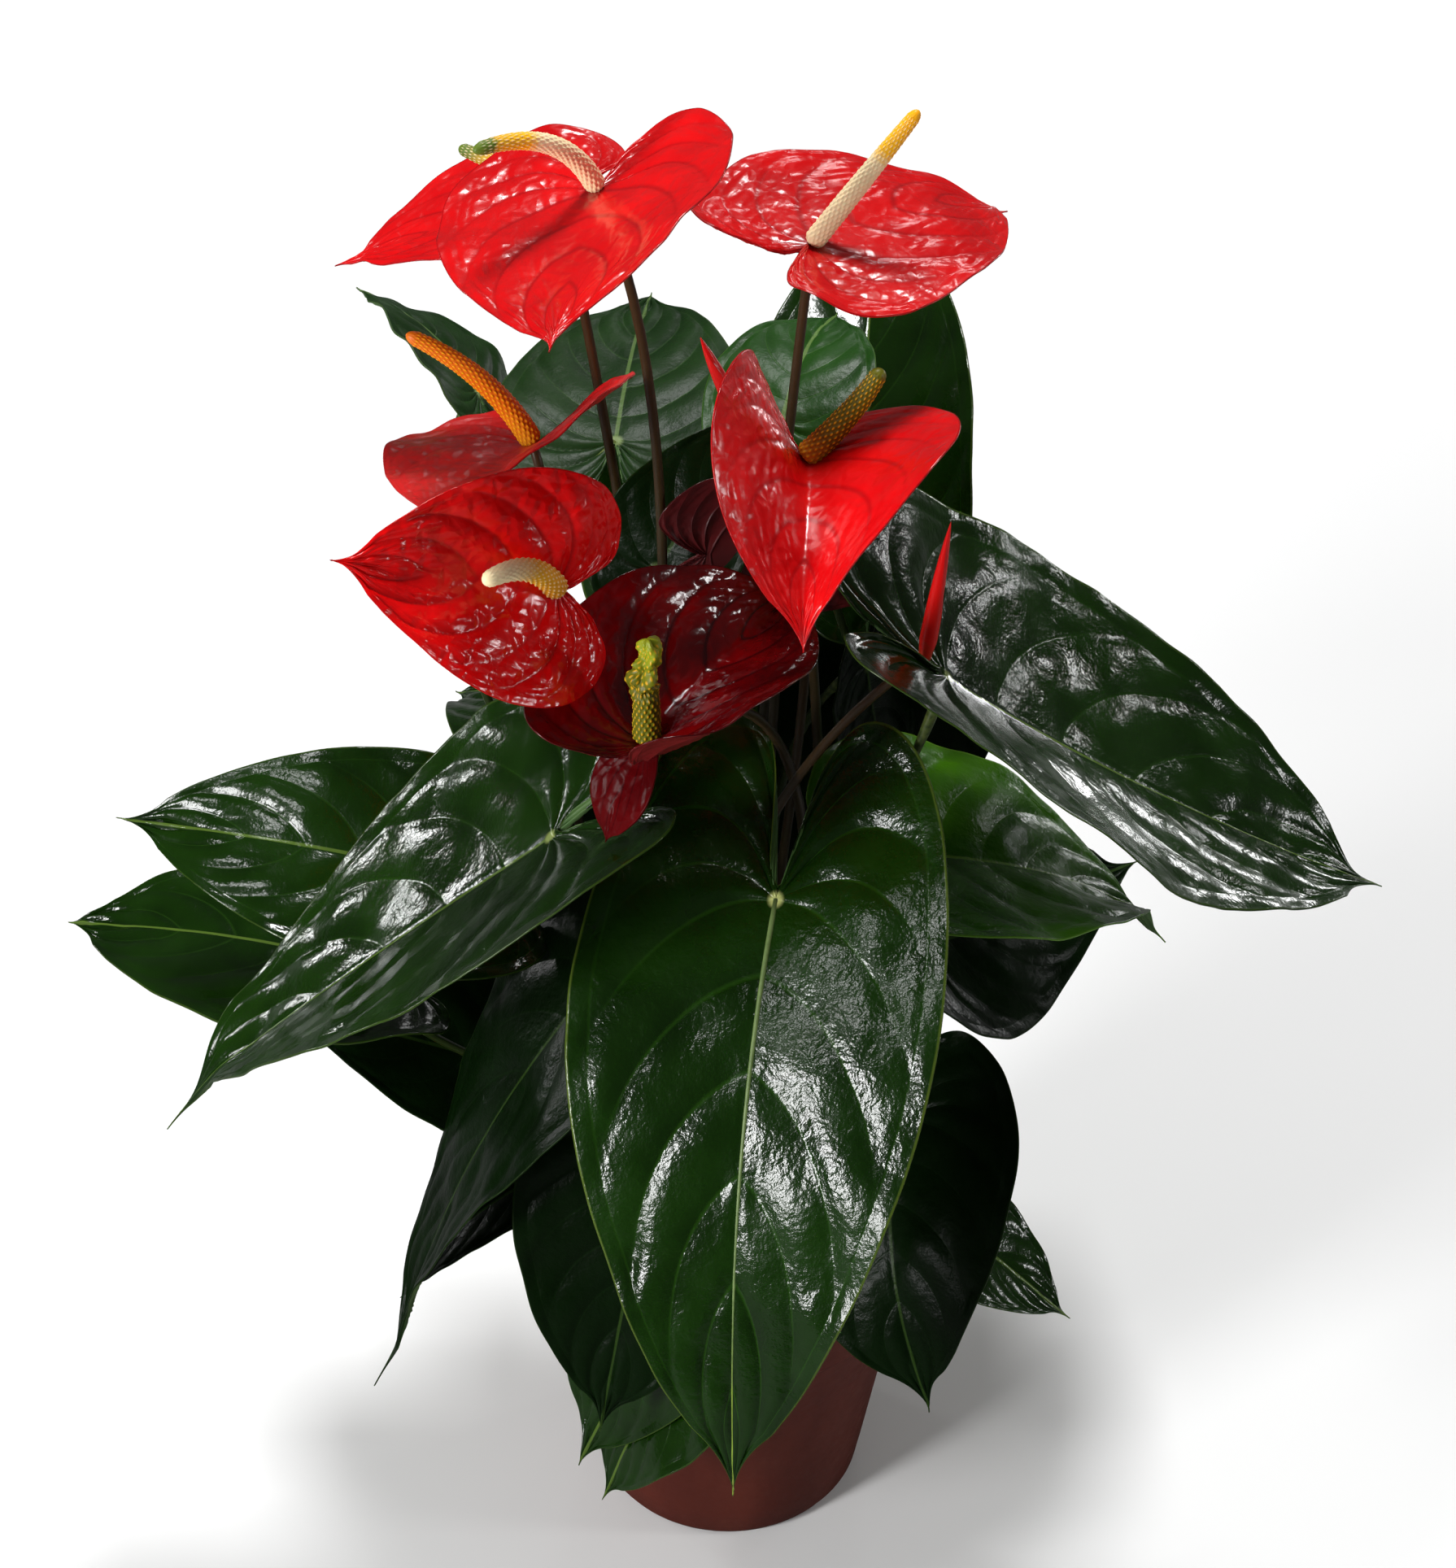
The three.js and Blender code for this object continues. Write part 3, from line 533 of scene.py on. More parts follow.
# leaves
leafShape = {"rows": 70, "rowsPerMm": 0.5, "columns": 14, "columnsPerMm": 0.25, "tail": 0.035,
             "veinsPerStep": 1, "veinBend": 1.6, "quilt": 1.9, "groove": 0.8, "collar": 0.4, "ripple": 3.0,
             "uneven": 2.1, "puff": 8, "blister": 0.12, "thick": 0.6}
leaves = [
    # front and left
    {"joint": (18, -95, 423), "tip": (2, -219, 227), "width": 143, "roll": 10, "bow": 28, "fold": 0.12,
     "lobe": 4, "twist": -5, "wave": 2, "tail": 0.01, "foot": (7, -26), "lean": (0, -5), "look": "front"},
    {"joint": (-66, -95, 455), "tip": (-214, -80, 306), "width": 145, "roll": -4, "bow": 2, "fold": 0.26,
     "lobe": -10, "twist": 6, "wave": 2, "tail": 0.12, "curl": (0, 10), "foot": (-23, -17),
     "lean": (-10, 15), "rise": (-0.5, -0.4, 0.8), "look": "dark"},
    {"joint": (-109, -11, 356), "tip": (-244, 23, 357), "width": 92, "roll": -30, "bow": 12, "fold": 0.12,
     "twist": -8, "wave": 2, "foot": (-16, 10), "lean": (0, 35), "look": "dark"},
    {"joint": (-144, -14, 309), "tip": (-275, 36, 287), "width": 106, "bow": 7, "fold": 0.14, "twist": -14,
     "wave": 1.5, "tail": 0.01, "foot": (-26, -3), "lean": (5, -5), "look": "dark"},
    {"joint": (-86, -4, 237), "tip": (-180, -4, 271), "width": 80, "roll": -23, "bow": 9, "fold": 0.1,
     "foot": (-40, -5), "lean": (0, -5), "look": "deep"},
    {"joint": (-51, -57, 346), "tip": (-135, -99, 178), "width": 106, "roll": 8, "bow": 11, "fold": 0.1,
     "lobe": -5, "twist": 20, "wave": 2, "tail": 0.1, "curl": (-8, -6), "foot": (-19, -27), "lean": (5, -5),
     "look": "deep"},
    {"joint": (-80, -59, 232), "tip": (-134, -80, 185), "width": 38, "roll": -2, "bow": 8, "fold": 0.1,
     "foot": (-38, -26), "lean": (-30, 0), "look": "deep"},
    {"joint": (-30, -90, 277), "tip": (-52, -125, 156), "width": 104, "roll": -20, "bow": 4, "fold": 0.1,
     "foot": (-9, -34), "lean": (10, 5), "look": "deep"},
    {"joint": (-31, -88, 214), "tip": (-62, -102, 106), "width": 92, "roll": -20, "bow": -6, "fold": 0.05,
     "foot": (-14, -36), "lean": (-5, 10), "look": "dark"},
    {"joint": (-11, -93, 174), "tip": (-52, -109, 91), "width": 78, "roll": -10, "bow": 6, "fold": 0.02,
     "foot": (-5, -44), "lean": (0, -5), "look": "dark"},
    # right
    {"joint": (68, -62, 269), "tip": (81, -138, 184), "width": 118, "roll": 35, "bow": 18, "fold": 0.15,
     "lobe": 6, "wave": 2, "foot": (25, -27), "lean": (-5, 0), "look": "deep"},
    {"joint": (86, -33, 186), "tip": (144, -48, 136), "width": 56, "roll": 18, "bow": 2, "fold": 0.02,
     "foot": (40, -17), "lean": (0, 0), "look": "dark"},
    {"joint": (68, -55, 410), "tip": (172, -15, 338), "width": 112, "roll": 10, "bow": 8, "fold": 0.25,
     "twist": -20, "wave": 2, "tail": 0.08, "curl": (4, 8), "foot": (8, -15), "lean": (-30, -25),
     "rise": (0.8, 0.5, 0.3), "look": "bright"},
    {"joint": (82, -50, 495), "tip": (264, -3, 344), "width": 165, "roll": 6, "bow": -6, "fold": 0.28,
     "twist": 10, "wave": 3, "tail": 0, "foot": (14, -15), "lean": (-15, -15), "rise": (0.3, 0.3, 0.9),
     "look": "dark"},
    {"joint": (79, -53, 360), "tip": (166, 27, 329), "width": 94, "roll": 30, "bow": -10, "fold": 0.05,
     "lobe": 7, "twist": 15, "wave": 2, "foot": (42, 7), "lean": (25, 0), "look": "deep"},
    # top, behind the blooms
    {"joint": (58, 68, 477), "tip": (63, 210, 524), "width": 94, "roll": -20, "bow": 20, "fold": 0.3,
     "twist": 15, "wave": 2, "foot": (7, 16), "lean": (-40, 0), "look": "dark"},
    {"joint": (20, 27, 556), "tip": (42, 100, 552), "width": 65, "roll": -4, "bow": 10, "fold": 0.05,
     "foot": (22, 0), "lean": (100, 10), "look": "satin"},
    {"joint": (-96, 58, 547), "tip": (-142, 92, 570), "width": 80, "roll": 35, "bow": 6, "fold": 0.02,
     "foot": (-21, 4), "lean": (-15, 20), "look": "matte"},
    {"joint": (-43, 37, 539), "tip": (-31, 145, 529), "width": 96, "roll": -3, "bow": 8, "fold": 0.05,
     "foot": (-7, 13), "lean": (15, 45), "rise": (0.7, 0.7, 0.3), "look": "matte"},
    {"joint": (-39, 30, 499), "tip": (-76, 90, 500), "width": 56, "bow": 8, "fold": 0.05, "foot": (-1, 0),
     "lean": (10, -5), "look": "dark"},
    {"joint": (-12, 66, 491), "tip": (-42, 129, 509), "width": 54, "bow": 8, "fold": 0.05, "foot": (3, 23),
     "lean": (45, -20), "look": "dark"},
    {"joint": (-27, -15, 518), "tip": (16, 20, 569), "width": 56, "roll": 30, "bow": 8, "fold": 0.1,
     "foot": (-10, -14), "lean": (0, 0), "look": "deep"},
    {"joint": (55, 24, 438), "tip": (66, 18, 358), "width": 70, "bow": 0, "fold": 0.1, "foot": (22, 9),
     "lean": (-5, 0), "look": "deep"},
    # back
    {"joint": (-46, 95, 330), "tip": (-118, 180, 290), "width": 105, "bow": 12, "fold": 0.1, "wave": 2,
     "foot": (-15, 27), "lean": (-10, -5), "look": "dark"},
    {"joint": (0, 108, 400), "tip": (5, 235, 330), "width": 125, "bow": 18, "fold": 0.1, "wave": 2.5,
     "tail": 0, "foot": (-7, 33), "lean": (0, 5), "rise": (0.3, 0.8, 0.5), "look": "dark"},
    {"joint": (52, 98, 360), "tip": (127, 212, 300), "width": 120, "bow": 15, "fold": 0.1, "wave": 2.5,
     "foot": (19, 26), "lean": (0, 10), "look": "dark"},
    {"joint": (82, 58, 290), "tip": (162, 118, 235), "width": 95, "bow": 10, "fold": 0.1, "wave": 2,
     "foot": (32, 25), "lean": (0, 5), "look": "dark"},
    {"joint": (-92, 62, 290), "tip": (-185, 110, 245), "width": 100, "bow": 10, "fold": 0.1, "wave": 2,
     "foot": (-32, 16), "lean": (0, 0), "look": "dark"},
]
ribGreen = matteMaterial("rib", rgb(112, 134, 76), rgb(92, 114, 60), 0.45, 200)
rib = {"steps": 24, "reach": 0.9, "radius": 1.4, "thins": 0.85, "sides": 8, "frontDrop": 0.9, "drop": 0.75}


def midribPiece(name, row):
    # the rib stands out under the blade, thins towards the tip, and shows above only on the front leaf
    joint, length, along, across, out = bladeAxes(row)
    points, radii = [], []
    for i in range(rib["steps"] + 1):
        s = rib["reach"] * i / rib["steps"]
        outward = out.copy()
        outward.rotate(Quaternion(along, math.radians(row.get("twist", 0)) * s))
        radius = rib["radius"] * (1 - rib["thins"] * s)
        drop = rib["frontDrop"] if row["look"] == "front" else radius + rib["drop"]
        points.append(joint + along * (s * length) + outward * (archAt(row, s) - drop))
        radii.append(radius)
    tubePiece(name, points, radii, rib["sides"], ribGreen, [])


def growLeaf(name, row, nodes):
    skins = [leafMaterials[row["look"]], leafBack]
    bladePiece(name + "_blade", row, leafOutline, leafShape, skins, nodes)
    normal = normalAtJoint(row)
    way = Vector(row["rise"]) if "rise" in row else normal + up * stem["upward"]
    end = Vector(row["joint"]) - normal * jointGap
    points = stemPoints(row, end, way.normalized(), stem["bendShare"])
    radii = stemRadii(len(points), stem["foot"], stem["neck"], stem["knee"])
    tubePiece(name + "_petiole", points, radii, stem["sides"], petioleGreen, nodes)
    midribPiece(name + "_midrib", row)


for number, row in enumerate(leaves, 1):
    name = "leaf_%02d" % number
    growLeaf(name, row, [name])
print("leaves", len(leaves), flush=True)

# small leaves inside the crown, seen only as dark flesh between the stems; their deep look is painted shade
innerLeaves = [
    {"joint": (10, 62, 402), "tip": (18, 22, 290), "width": 76, "bow": 6, "fold": 0.1,
     "foot": (4, 14), "lean": (0, 5), "look": "deep"},
    {"joint": (70, 60, 438), "tip": (76, 28, 330), "width": 84, "bow": 6, "fold": 0.1,
     "foot": (24, 16), "lean": (5, 5), "look": "deep"},
    {"joint": (-34, 48, 380), "tip": (-40, 12, 290), "width": 66, "bow": 5, "fold": 0.1,
     "foot": (-14, 14), "lean": (0, 5), "look": "deep"},
]
for number, row in enumerate(innerLeaves, 1):
    growLeaf("inner_leaf_%d" % number, row, [])
print("inner leaves", len(innerLeaves), flush=True)

# blooms
spatheLooks = {
    "red": {"base": rgb(186, 3, 8), "other": rgb(206, 8, 12), "vein": rgb(126, 2, 8), "veinShare": 0.5,
            "ripple": 0.34, "net": 0.2, "rough": 0.25, "coat": 0.2, "shine": 0.42},
    "vivid": {"base": rgb(206, 3, 6), "other": rgb(226, 8, 10), "vein": rgb(160, 3, 8), "veinShare": 0.3,
              "ripple": 0.32, "net": 0.28, "rough": 0.19, "coat": 0.1, "shine": 0.34},
    "pale": {"base": rgb(186, 18, 20), "other": rgb(198, 30, 28), "vein": rgb(150, 14, 16), "veinShare": 0.2,
             "ripple": 0.35, "net": 0.25, "rough": 0.36, "coat": 0.0, "shine": 0.35},
    # dark: bloom_7's own dark red, deepened further with painted shade
    "dark": {"base": rgb(72, 1, 4), "other": rgb(114, 2, 5), "vein": rgb(30, 1, 4), "veinShare": 0.75,
             "ripple": 0.3, "net": 0.2, "rough": 0.16, "coat": 0.15, "shine": 0.4},
    "tongue": {"base": rgb(62, 1, 3), "other": rgb(82, 3, 6), "vein": rgb(40, 1, 4), "veinShare": 0.7,
               "ripple": 0.5, "net": 0.3, "rough": 0.32, "coat": 0.0, "shine": 0.05},
    "maroon": {"base": rgb(60, 10, 14), "other": rgb(78, 14, 18), "vein": rgb(38, 8, 10), "veinShare": 0.5,
               "ripple": 0.35, "net": 0.3, "rough": 0.3, "coat": 0.3, "shine": 0.4},
}
spatheMaterials = {key: spatheMaterial("spathe " + key, look) for key, look in spatheLooks.items()}
backShades = {
    "red": (rgb(176, 18, 18), rgb(190, 30, 26), rgb(150, 14, 14), 0.45),
    "vivid": (rgb(176, 14, 14), rgb(192, 24, 20), rgb(150, 10, 12), 0.45),
    "pale": (rgb(176, 30, 28), rgb(190, 40, 34), rgb(150, 24, 22), 0.45),
    "dark": (rgb(96, 12, 14), rgb(110, 16, 18), rgb(76, 10, 12), 0.45),
    "tongue": (rgb(64, 3, 6), rgb(80, 5, 8), rgb(44, 2, 5), 0.4),
    "maroon": (rgb(62, 12, 14), rgb(80, 18, 20), rgb(50, 10, 12), 0.4),
}
spatheBacks = {key: undersideMaterial(key + " underside", *shades) for key, shades in backShades.items()}
spatheShape = {"rows": 100, "rowsPerMm": 0.9, "columns": 20, "columnsPerMm": 0.4, "tail": 0.05,
               "veinsPerStep": 0.8, "veinBend": 2.0, "quilt": 1.3, "groove": 0.1, "collar": 0.3,
               "ripple": 2.4, "uneven": 1.8, "puff": 5.5, "blister": 0.7, "thick": 0.6}
tongueShape = {"rows": 50, "rowsPerMm": 0.6, "columns": 10, "columnsPerMm": 0.4, "tail": 0.02,
               "veinsPerStep": 1, "veinBend": 1.5, "quilt": 0.3, "groove": 0.3, "collar": 0.1,
               "ripple": 0.6, "uneven": 0.5, "puff": 6, "blister": 0.15, "thick": 0.6}
cream, yellow, amber = rgb(246, 226, 180), rgb(250, 190, 20), rgb(246, 170, 16)
ochre, gold, orange = rgb(212, 140, 30), rgb(226, 168, 30), rgb(214, 106, 14)
olive, moss, lime, fern = rgb(112, 88, 14), rgb(96, 96, 16), rgb(136, 146, 26), rgb(92, 112, 34)
blooms = [
    # the two at the top left, the one behind first
    {"joint": (-61, 24, 663), "tip": (-139, 13, 639), "width": 78, "roll": 6, "bow": 1, "fold": 0.15,
     "lobe": -6, "spadix": (-98, 44, 668), "spike": 3.6, "foot": (-14, 4), "lean": (0, -55),
     "rise": (-0.15, 0, 1), "relief": 0.7, "look": "red", "dots": cream,
     "stops": [(0, cream), (0.6, gold), (0.9, fern), (1, fern)]},
    {"joint": (-46, -16, 691), "tip": (-59, -115, 696), "width": 108, "roll": 18, "bow": 0, "fold": 0.16,
     "lobe": 3, "twist": 6, "spadix": (-87, -45, 726), "spike": 3.8, "bend": 10, "foot": (-16, -2),
     "lean": (-30, -95), "rise": (-0.3, -0.1, 0.95), "relief": 0.7, "look": "red", "dots": cream,
     "stops": [(0, cream), (0.58, cream), (0.66, yellow), (0.84, gold), (0.9, fern), (1, fern)]},
    # top right
    {"joint": (30, -7, 661), "tip": (101, 62, 627), "width": 105, "roll": 3, "bow": 10, "fold": 0,
     "lobe": 12, "spadix": (67, 0, 713), "spike": 3.8, "foot": (5, 4), "lean": (5, -10),
     "rise": (0.1, 0, 1), "relief": 0.35, "look": "red", "dots": cream,
     "stops": [(0, cream), (0.62, cream), (0.7, yellow), (1, amber)]},
    # left middle
    {"joint": (-72, -10, 574), "tip": (-100, -88, 598), "width": 96, "roll": 26, "bow": 2, "fold": 0.32,
     "lobe": 4, "spadix": (-117, -5, 620), "spike": 4.2, "bend": 6, "foot": (-22, 12), "lean": (-60, 15),
     "rise": (-0.2, 0, 1), "relief": 0.6, "look": "pale", "dots": yellow,
     "stops": [(0, ochre), (0.3, orange), (1, orange)]},
    # centre right
    {"joint": (27, -67, 611), "tip": (26, -144, 590), "width": 86, "roll": -20, "bow": 7, "fold": 1.05,
     "lobe": -4, "twist": 30, "spadix": (54, -60, 645), "spike": 4.6, "bend": -2, "foot": (14, -7),
     "lean": (40, 5), "rise": (0, -0.3, 0.95), "relief": 0.35, "look": "red", "dots": yellow,
     "stops": [(0, ochre), (0.25, olive), (0.5, moss), (1, moss)]},
    # lower left
    {"joint": (-61, -95, 574), "tip": (-133, -130, 615), "width": 84, "roll": -60, "bow": 2, "fold": 0.22,
     "lobe": -6, "twist": 5, "spadix": (-84, -130, 606), "spike": 4.6, "bend": 6, "foot": (-3, -6),
     "lean": (-20, 40), "rise": (0, -0.8, 0.6), "look": "vivid", "dots": cream,
     "stops": [(0, ochre), (0.45, gold), (0.75, cream), (1, cream)]},
    # front centre, with a small flap under its spike
    {"joint": (-29, -117, 522), "tip": (24, -33, 521), "width": 86, "roll": -4, "bow": 6, "fold": 0.7,
     "lobe": 12, "twist": 34, "spadix": (-29, -115, 568), "spike": 5, "foot": (18, 3), "lean": (25, 10),
     "rise": (-0.6, -0.8, 0.1), "look": "dark", "dots": gold, "lumps": 1,
     "stops": [(0, moss), (0.6, moss), (0.85, lime), (1, lime)]},
    # behind it, its face turned away
    {"joint": (31, 5, 506), "tip": (-33, 5, 510), "width": 80, "roll": 70, "bow": 5, "fold": 0.1,
     "spadix": (12, 48, 522), "spike": 4, "foot": (14, 10), "lean": (-5, 5), "rise": (0, 0.5, 0.87),
     "look": "maroon", "dots": gold, "stops": [(0, olive), (1, lime)]},
]
tongue = {"joint": (-30, -117, 521), "tip": (-44, -132, 487), "width": 27, "bow": 3, "fold": 0.1}
# the fold of bloom_8 that shows between its neighbours
maroonFold = {"joint": (-8, -24, 533), "tip": (56, -22, 524), "width": 66, "roll": -95, "bow": 5,
              "fold": 0.1}
spike = {"taper": 0.4, "rings": 130, "sides": 84, "pitch": 2.0, "turns": 14, "knob": 0.13,
         "roundFoot": 0.05, "roundTip": 0.06, "wobble": 1.3}


def spadixPiece(name, foot, row, material, node):
    axis = Vector(row["spadix"]) - foot
    length = axis.length
    axis.normalize()
    sideways = (up - axis * up.dot(axis)).normalized()   # bends upwards
    count, lumps = spike["rings"], row.get("lumps", 0)
    points, radii = [], []
    for i in range(count + 1):
        u = i / count
        sway = lumps * spike["wobble"] * math.sin(9 * u) * smooth(0.3, 0.6, u)
        point = foot + axis * (length * u) + sideways * (row.get("bend", 0) * 4 * u * (1 - u))
        points.append(point + axis.cross(sideways) * sway)
        radius = row["spike"] * (1 - spike["taper"] * u * u)
        if u < spike["roundFoot"]:
            radius *= 0.6 + 0.4 * math.sqrt(1 - (1 - u / spike["roundFoot"]) ** 2)
        if u > 1 - spike["roundTip"]:
            radius *= math.sqrt(max(0.004, 1 - ((u - 1 + spike["roundTip"]) / spike["roundTip"]) ** 2))
        radii.append(radius)
    rows = length / spike["pitch"]

    def knobs(i, angle):
        # small raised florets where two sets of spirals cross
        u = i / count
        around = spike["turns"] * angle / (2 * math.pi)
        climb = rows * u * 0.5
        knob = abs(math.sin(math.pi * (climb + around))) * abs(math.sin(math.pi * (climb - around)))
        knob = knob ** 1.3 * (1 - smooth(0.93, 1, u))
        at = Vector((math.cos(angle), math.sin(angle), u * length * 0.16))
        bulge = lumps * smooth(0.4, 0.55, u) * noise.noise(at * 1.3)
        return 0.94 + spike["knob"] * knob + bulge, knob

    tubePiece(name, points, radii, spike["sides"], material, [node], knobs)


def stalkPiece(name, row, end, way, share):
    points = stemPoints(row, end, way, share)
    radii = stemRadii(len(points), stem["stalkFoot"], stem["stalkNeck"], 0)
    nodes = [name + "_stalk"]
    tubePiece(name + "_stalk_tube", points, radii, stem["sides"], stalkBrown, nodes)


def skinsOf(key):
    return [spatheMaterials[key], spatheBacks[key]]


for number, row in enumerate(blooms, 1):
    name = "bloom_%d" % number
    normal, joint = normalAtJoint(row), Vector(row["joint"])
    bladePiece(name + "_spathe_blade", row, spatheOutline, spatheShape, skinsOf(row["look"]),
               [name + "_spathe"])
    stalkPiece(name, row, joint, Vector(row["rise"]).normalized(), stem["bendShare"])
    spikeMaterial = rampMaterial(name + " spike", row["stops"], 0.42, 700, 0.15, 0.12, row["dots"])
    spadixPiece(name + "_spadix_spike", joint + normal * jointGap, row, spikeMaterial, name + "_spadix")
bladePiece("bloom_7_tongue", tongue, tongueOutline, tongueShape, skinsOf("tongue"), ["bloom_7_spathe"])
bladePiece("bloom_8_fold", maroonFold, spatheOutline, spatheShape, skinsOf("maroon"), [])
print("blooms", len(blooms), flush=True)

# young blooms, the spathe still rolled up
budShape = {"radius": 3.4, "foot": 0.72, "rings": 40, "sides": 40, "wind": 0.45, "edge": 0.16}
buds = [
    {"joint": (73, -53, 507), "tip": (81, -50, 569), "foot": (7, -10), "lean": (-40, -10),
     "rise": (0.8, 0.1, 0.6)},
    {"joint": (3, -15, 593), "tip": (-10, -15, 626), "foot": (-7, -22), "lean": (15, 5)},
]
budShades = [(0.0, rgb(150, 50, 24)), (0.12, rgb(196, 24, 20)), (1.0, rgb(206, 16, 18))]
budRed = rampMaterial("bud", budShades, 0.28)


def rolledEdge(i, angle):
    # the overlapping edge winds round the bud
    turned = (angle / (2 * math.pi) + i / budShape["rings"] * budShape["wind"]) % 1
    return 1 - 0.75 * budShape["edge"] + budShape["edge"] * turned, 0


for number, row in enumerate(buds, 1):
    name = "bud_%d" % number
    joint, tip = Vector(row["joint"]), Vector(row["tip"])
    axis = (tip - joint).normalized()
    way = Vector(row["rise"]).normalized() if "rise" in row else axis
    stalkPiece(name, row, joint, way, stem["budBendShare"])
    count = budShape["rings"]
    spine = [joint.lerp(tip, i / count) for i in range(count + 1)]
    widths = []
    for i in range(count + 1):
        u = i / count
        swell = budShape["foot"] + (1 - budShape["foot"]) * smooth(0, 0.15, u)
        widths.append(budShape["radius"] * swell * (1 - u ** 2.2) ** 0.9 + 0.05)
    tubePiece(name + "_rolled", spine, widths, budShape["sides"], budRed, [name + "_spathe"],
              rolledEdge)
print("buds", len(buds), flush=True)

# pot
pot = {"height": 150, "rim": 85, "band": 20, "step": 3, "foot": 58, "wall": 2.5, "steps": 128,
       "colour": rgb(78, 27, 16), "other": rgb(92, 35, 22), "scuff": rgb(118, 66, 48), "rough": 0.42}
slope = (pot["rim"] - pot["step"] - pot["foot"]) / pot["height"]
rim, top, bandFoot = pot["rim"], pot["height"], pot["height"] - pot["band"]


def outsideAt(z):
    return pot["foot"] + slope * z


def potPlastic():
    # upright streaks, and paler scuffs
    material, tree, shader, coords = newMaterial("pot plastic")
    streak = makeNode(tree, "ShaderNodeMapping", {}, {"Vector": coords, "Scale": (1, 1, 0.15)}).outputs[0]
    cloud = ranged(tree, noiseAt(tree, streak, 30, 3), 0.3, 0.7)
    scuff = noiseAt(tree, coords, 55, 5, 0.7)
    colour = mixed(tree, cloud, pot["colour"], pot["other"])
    colour = mixed(tree, ranged(tree, scuff, 0.62, 0.75, 0, 0.3), colour, pot["scuff"])
    tree.links.new(colour, shader.inputs["Base Color"])
    rough = ranged(tree, scuff, 0.3, 0.75, pot["rough"], pot["rough"] + 0.2)
    tree.links.new(rough, shader.inputs["Roughness"])
    tree.links.new(bumped(tree, noiseAt(tree, coords, 900), 0.06, 0.0004), shader.inputs["Normal"])
    shader.inputs["Specular IOR Level"].default_value = 0.3
    return material


# radius and height: under the foot, up the outside, over the rim and down the inside
profile = [
    (0, 3), (30, 3), (32, 2), (34, 0), (52, 0), (54.5, 0.5), (57, 2.2), (58.6, 5),
    (outsideAt(20), 20), (outsideAt(60), 60), (outsideAt(100), 100), (outsideAt(126), 126),
    (outsideAt(129) + 0.4, 129.2), (rim - 1.4, bandFoot), (rim - 0.4, bandFoot + 0.4),
    (rim, bandFoot + 1.4), (rim, top - 10), (rim, top - 2), (rim - 0.2, top - 0.8),
    (rim - 0.8, top - 0.2), (rim - 1.6, top - 0.1), (rim - 2.2, top - 0.6),
    (rim - pot["wall"], top - 1.6), (rim - 2.8, bandFoot + 4), (rim - 4, bandFoot - 2),
    (outsideAt(60) - pot["wall"], 60), (54, 5), (0, 4.5),
]
bm = bmesh.new()
verts = [bm.verts.new((x * mm, 0, z * mm)) for x, z in profile]
edges = [bm.edges.new(pair) for pair in zip(verts, verts[1:])]
bmesh.ops.spin(bm, geom=verts + edges, cent=(0, 0, 0), axis=up, angle=2 * math.pi, steps=pot["steps"])
bmesh.ops.remove_doubles(bm, verts=bm.verts, dist=weld)
bmesh.ops.recalc_face_normals(bm, faces=bm.faces)
finishPiece("pot_shell", bm, [potPlastic()], ["pot"])

# soil: heaped round the crown, with crumbs on it
soil = {"top": 135, "heap": 6, "heapRadius": 50, "radius": 80.8, "grid": 90, "footShare": 0.68,
        "footHeight": 6, "crumbs": 420, "crumbSize": (0.8, 2.6), "spread": 78}


def soilHeight(r):
    return soil["top"] + soil["heap"] * max(0, 1 - r / soil["heapRadius"]) - 2 * smooth(60, 80, r)


bm = bmesh.new()
bmesh.ops.create_grid(bm, x_segments=soil["grid"], y_segments=soil["grid"], size=1)
for vert in bm.verts:
    x, y = vert.co.x, vert.co.y
    u, v = x * math.sqrt(1 - y * y / 2), y * math.sqrt(1 - x * x / 2)   # the square becomes a disc
    z = soilHeight(math.hypot(u, v) * soil["radius"])
    z += 1.5 * noise.noise(Vector((u * 9, v * 9, 1))) + 0.8 * noise.noise(Vector((u * 26, v * 26, 4)))
    vert.co = Vector((u * soil["radius"], v * soil["radius"], z)) * mm
border = [edge for edge in bm.edges if edge.is_boundary]
share = soil["footShare"]
for part in bmesh.ops.extrude_edge_only(bm, edges=border)["geom"]:
    if isinstance(part, bmesh.types.BMVert):
        part.co = Vector((part.co.x * share, part.co.y * share, soil["footHeight"] * mm))
bmesh.ops.contextual_create(bm, geom=[edge for edge in bm.edges if edge.is_boundary])
bmesh.ops.recalc_face_normals(bm, faces=bm.faces)
for i in range(soil["crumbs"]):
    angle, r = random.uniform(0, 2 * math.pi), soil["spread"] * math.sqrt(random.random())
    size = random.uniform(*soil["crumbSize"]) * mm
    spot = Matrix.Translation(Vector((r * math.cos(angle), r * math.sin(angle), soilHeight(r) + 0.4)) * mm)
    axis = Vector((random.random(), random.random(), 0.5)).normalized()
    spot @= Matrix.Rotation(random.uniform(0, 6), 4, axis)
    squash = (random.uniform(0.5, 1), random.uniform(0.4, 0.9))
    spot @= Matrix.Diagonal((size, size * squash[0], size * squash[1], 1))
    bmesh.ops.create_icosphere(bm, subdivisions=1, radius=1, matrix=spot)
soilMaterial = matteMaterial("soil", rgb(38, 27, 20), rgb(72, 54, 38), 0.95, 220, 0.8, 0.002)
finishPiece("soil_heap", bm, [soilMaterial], ["soil"])

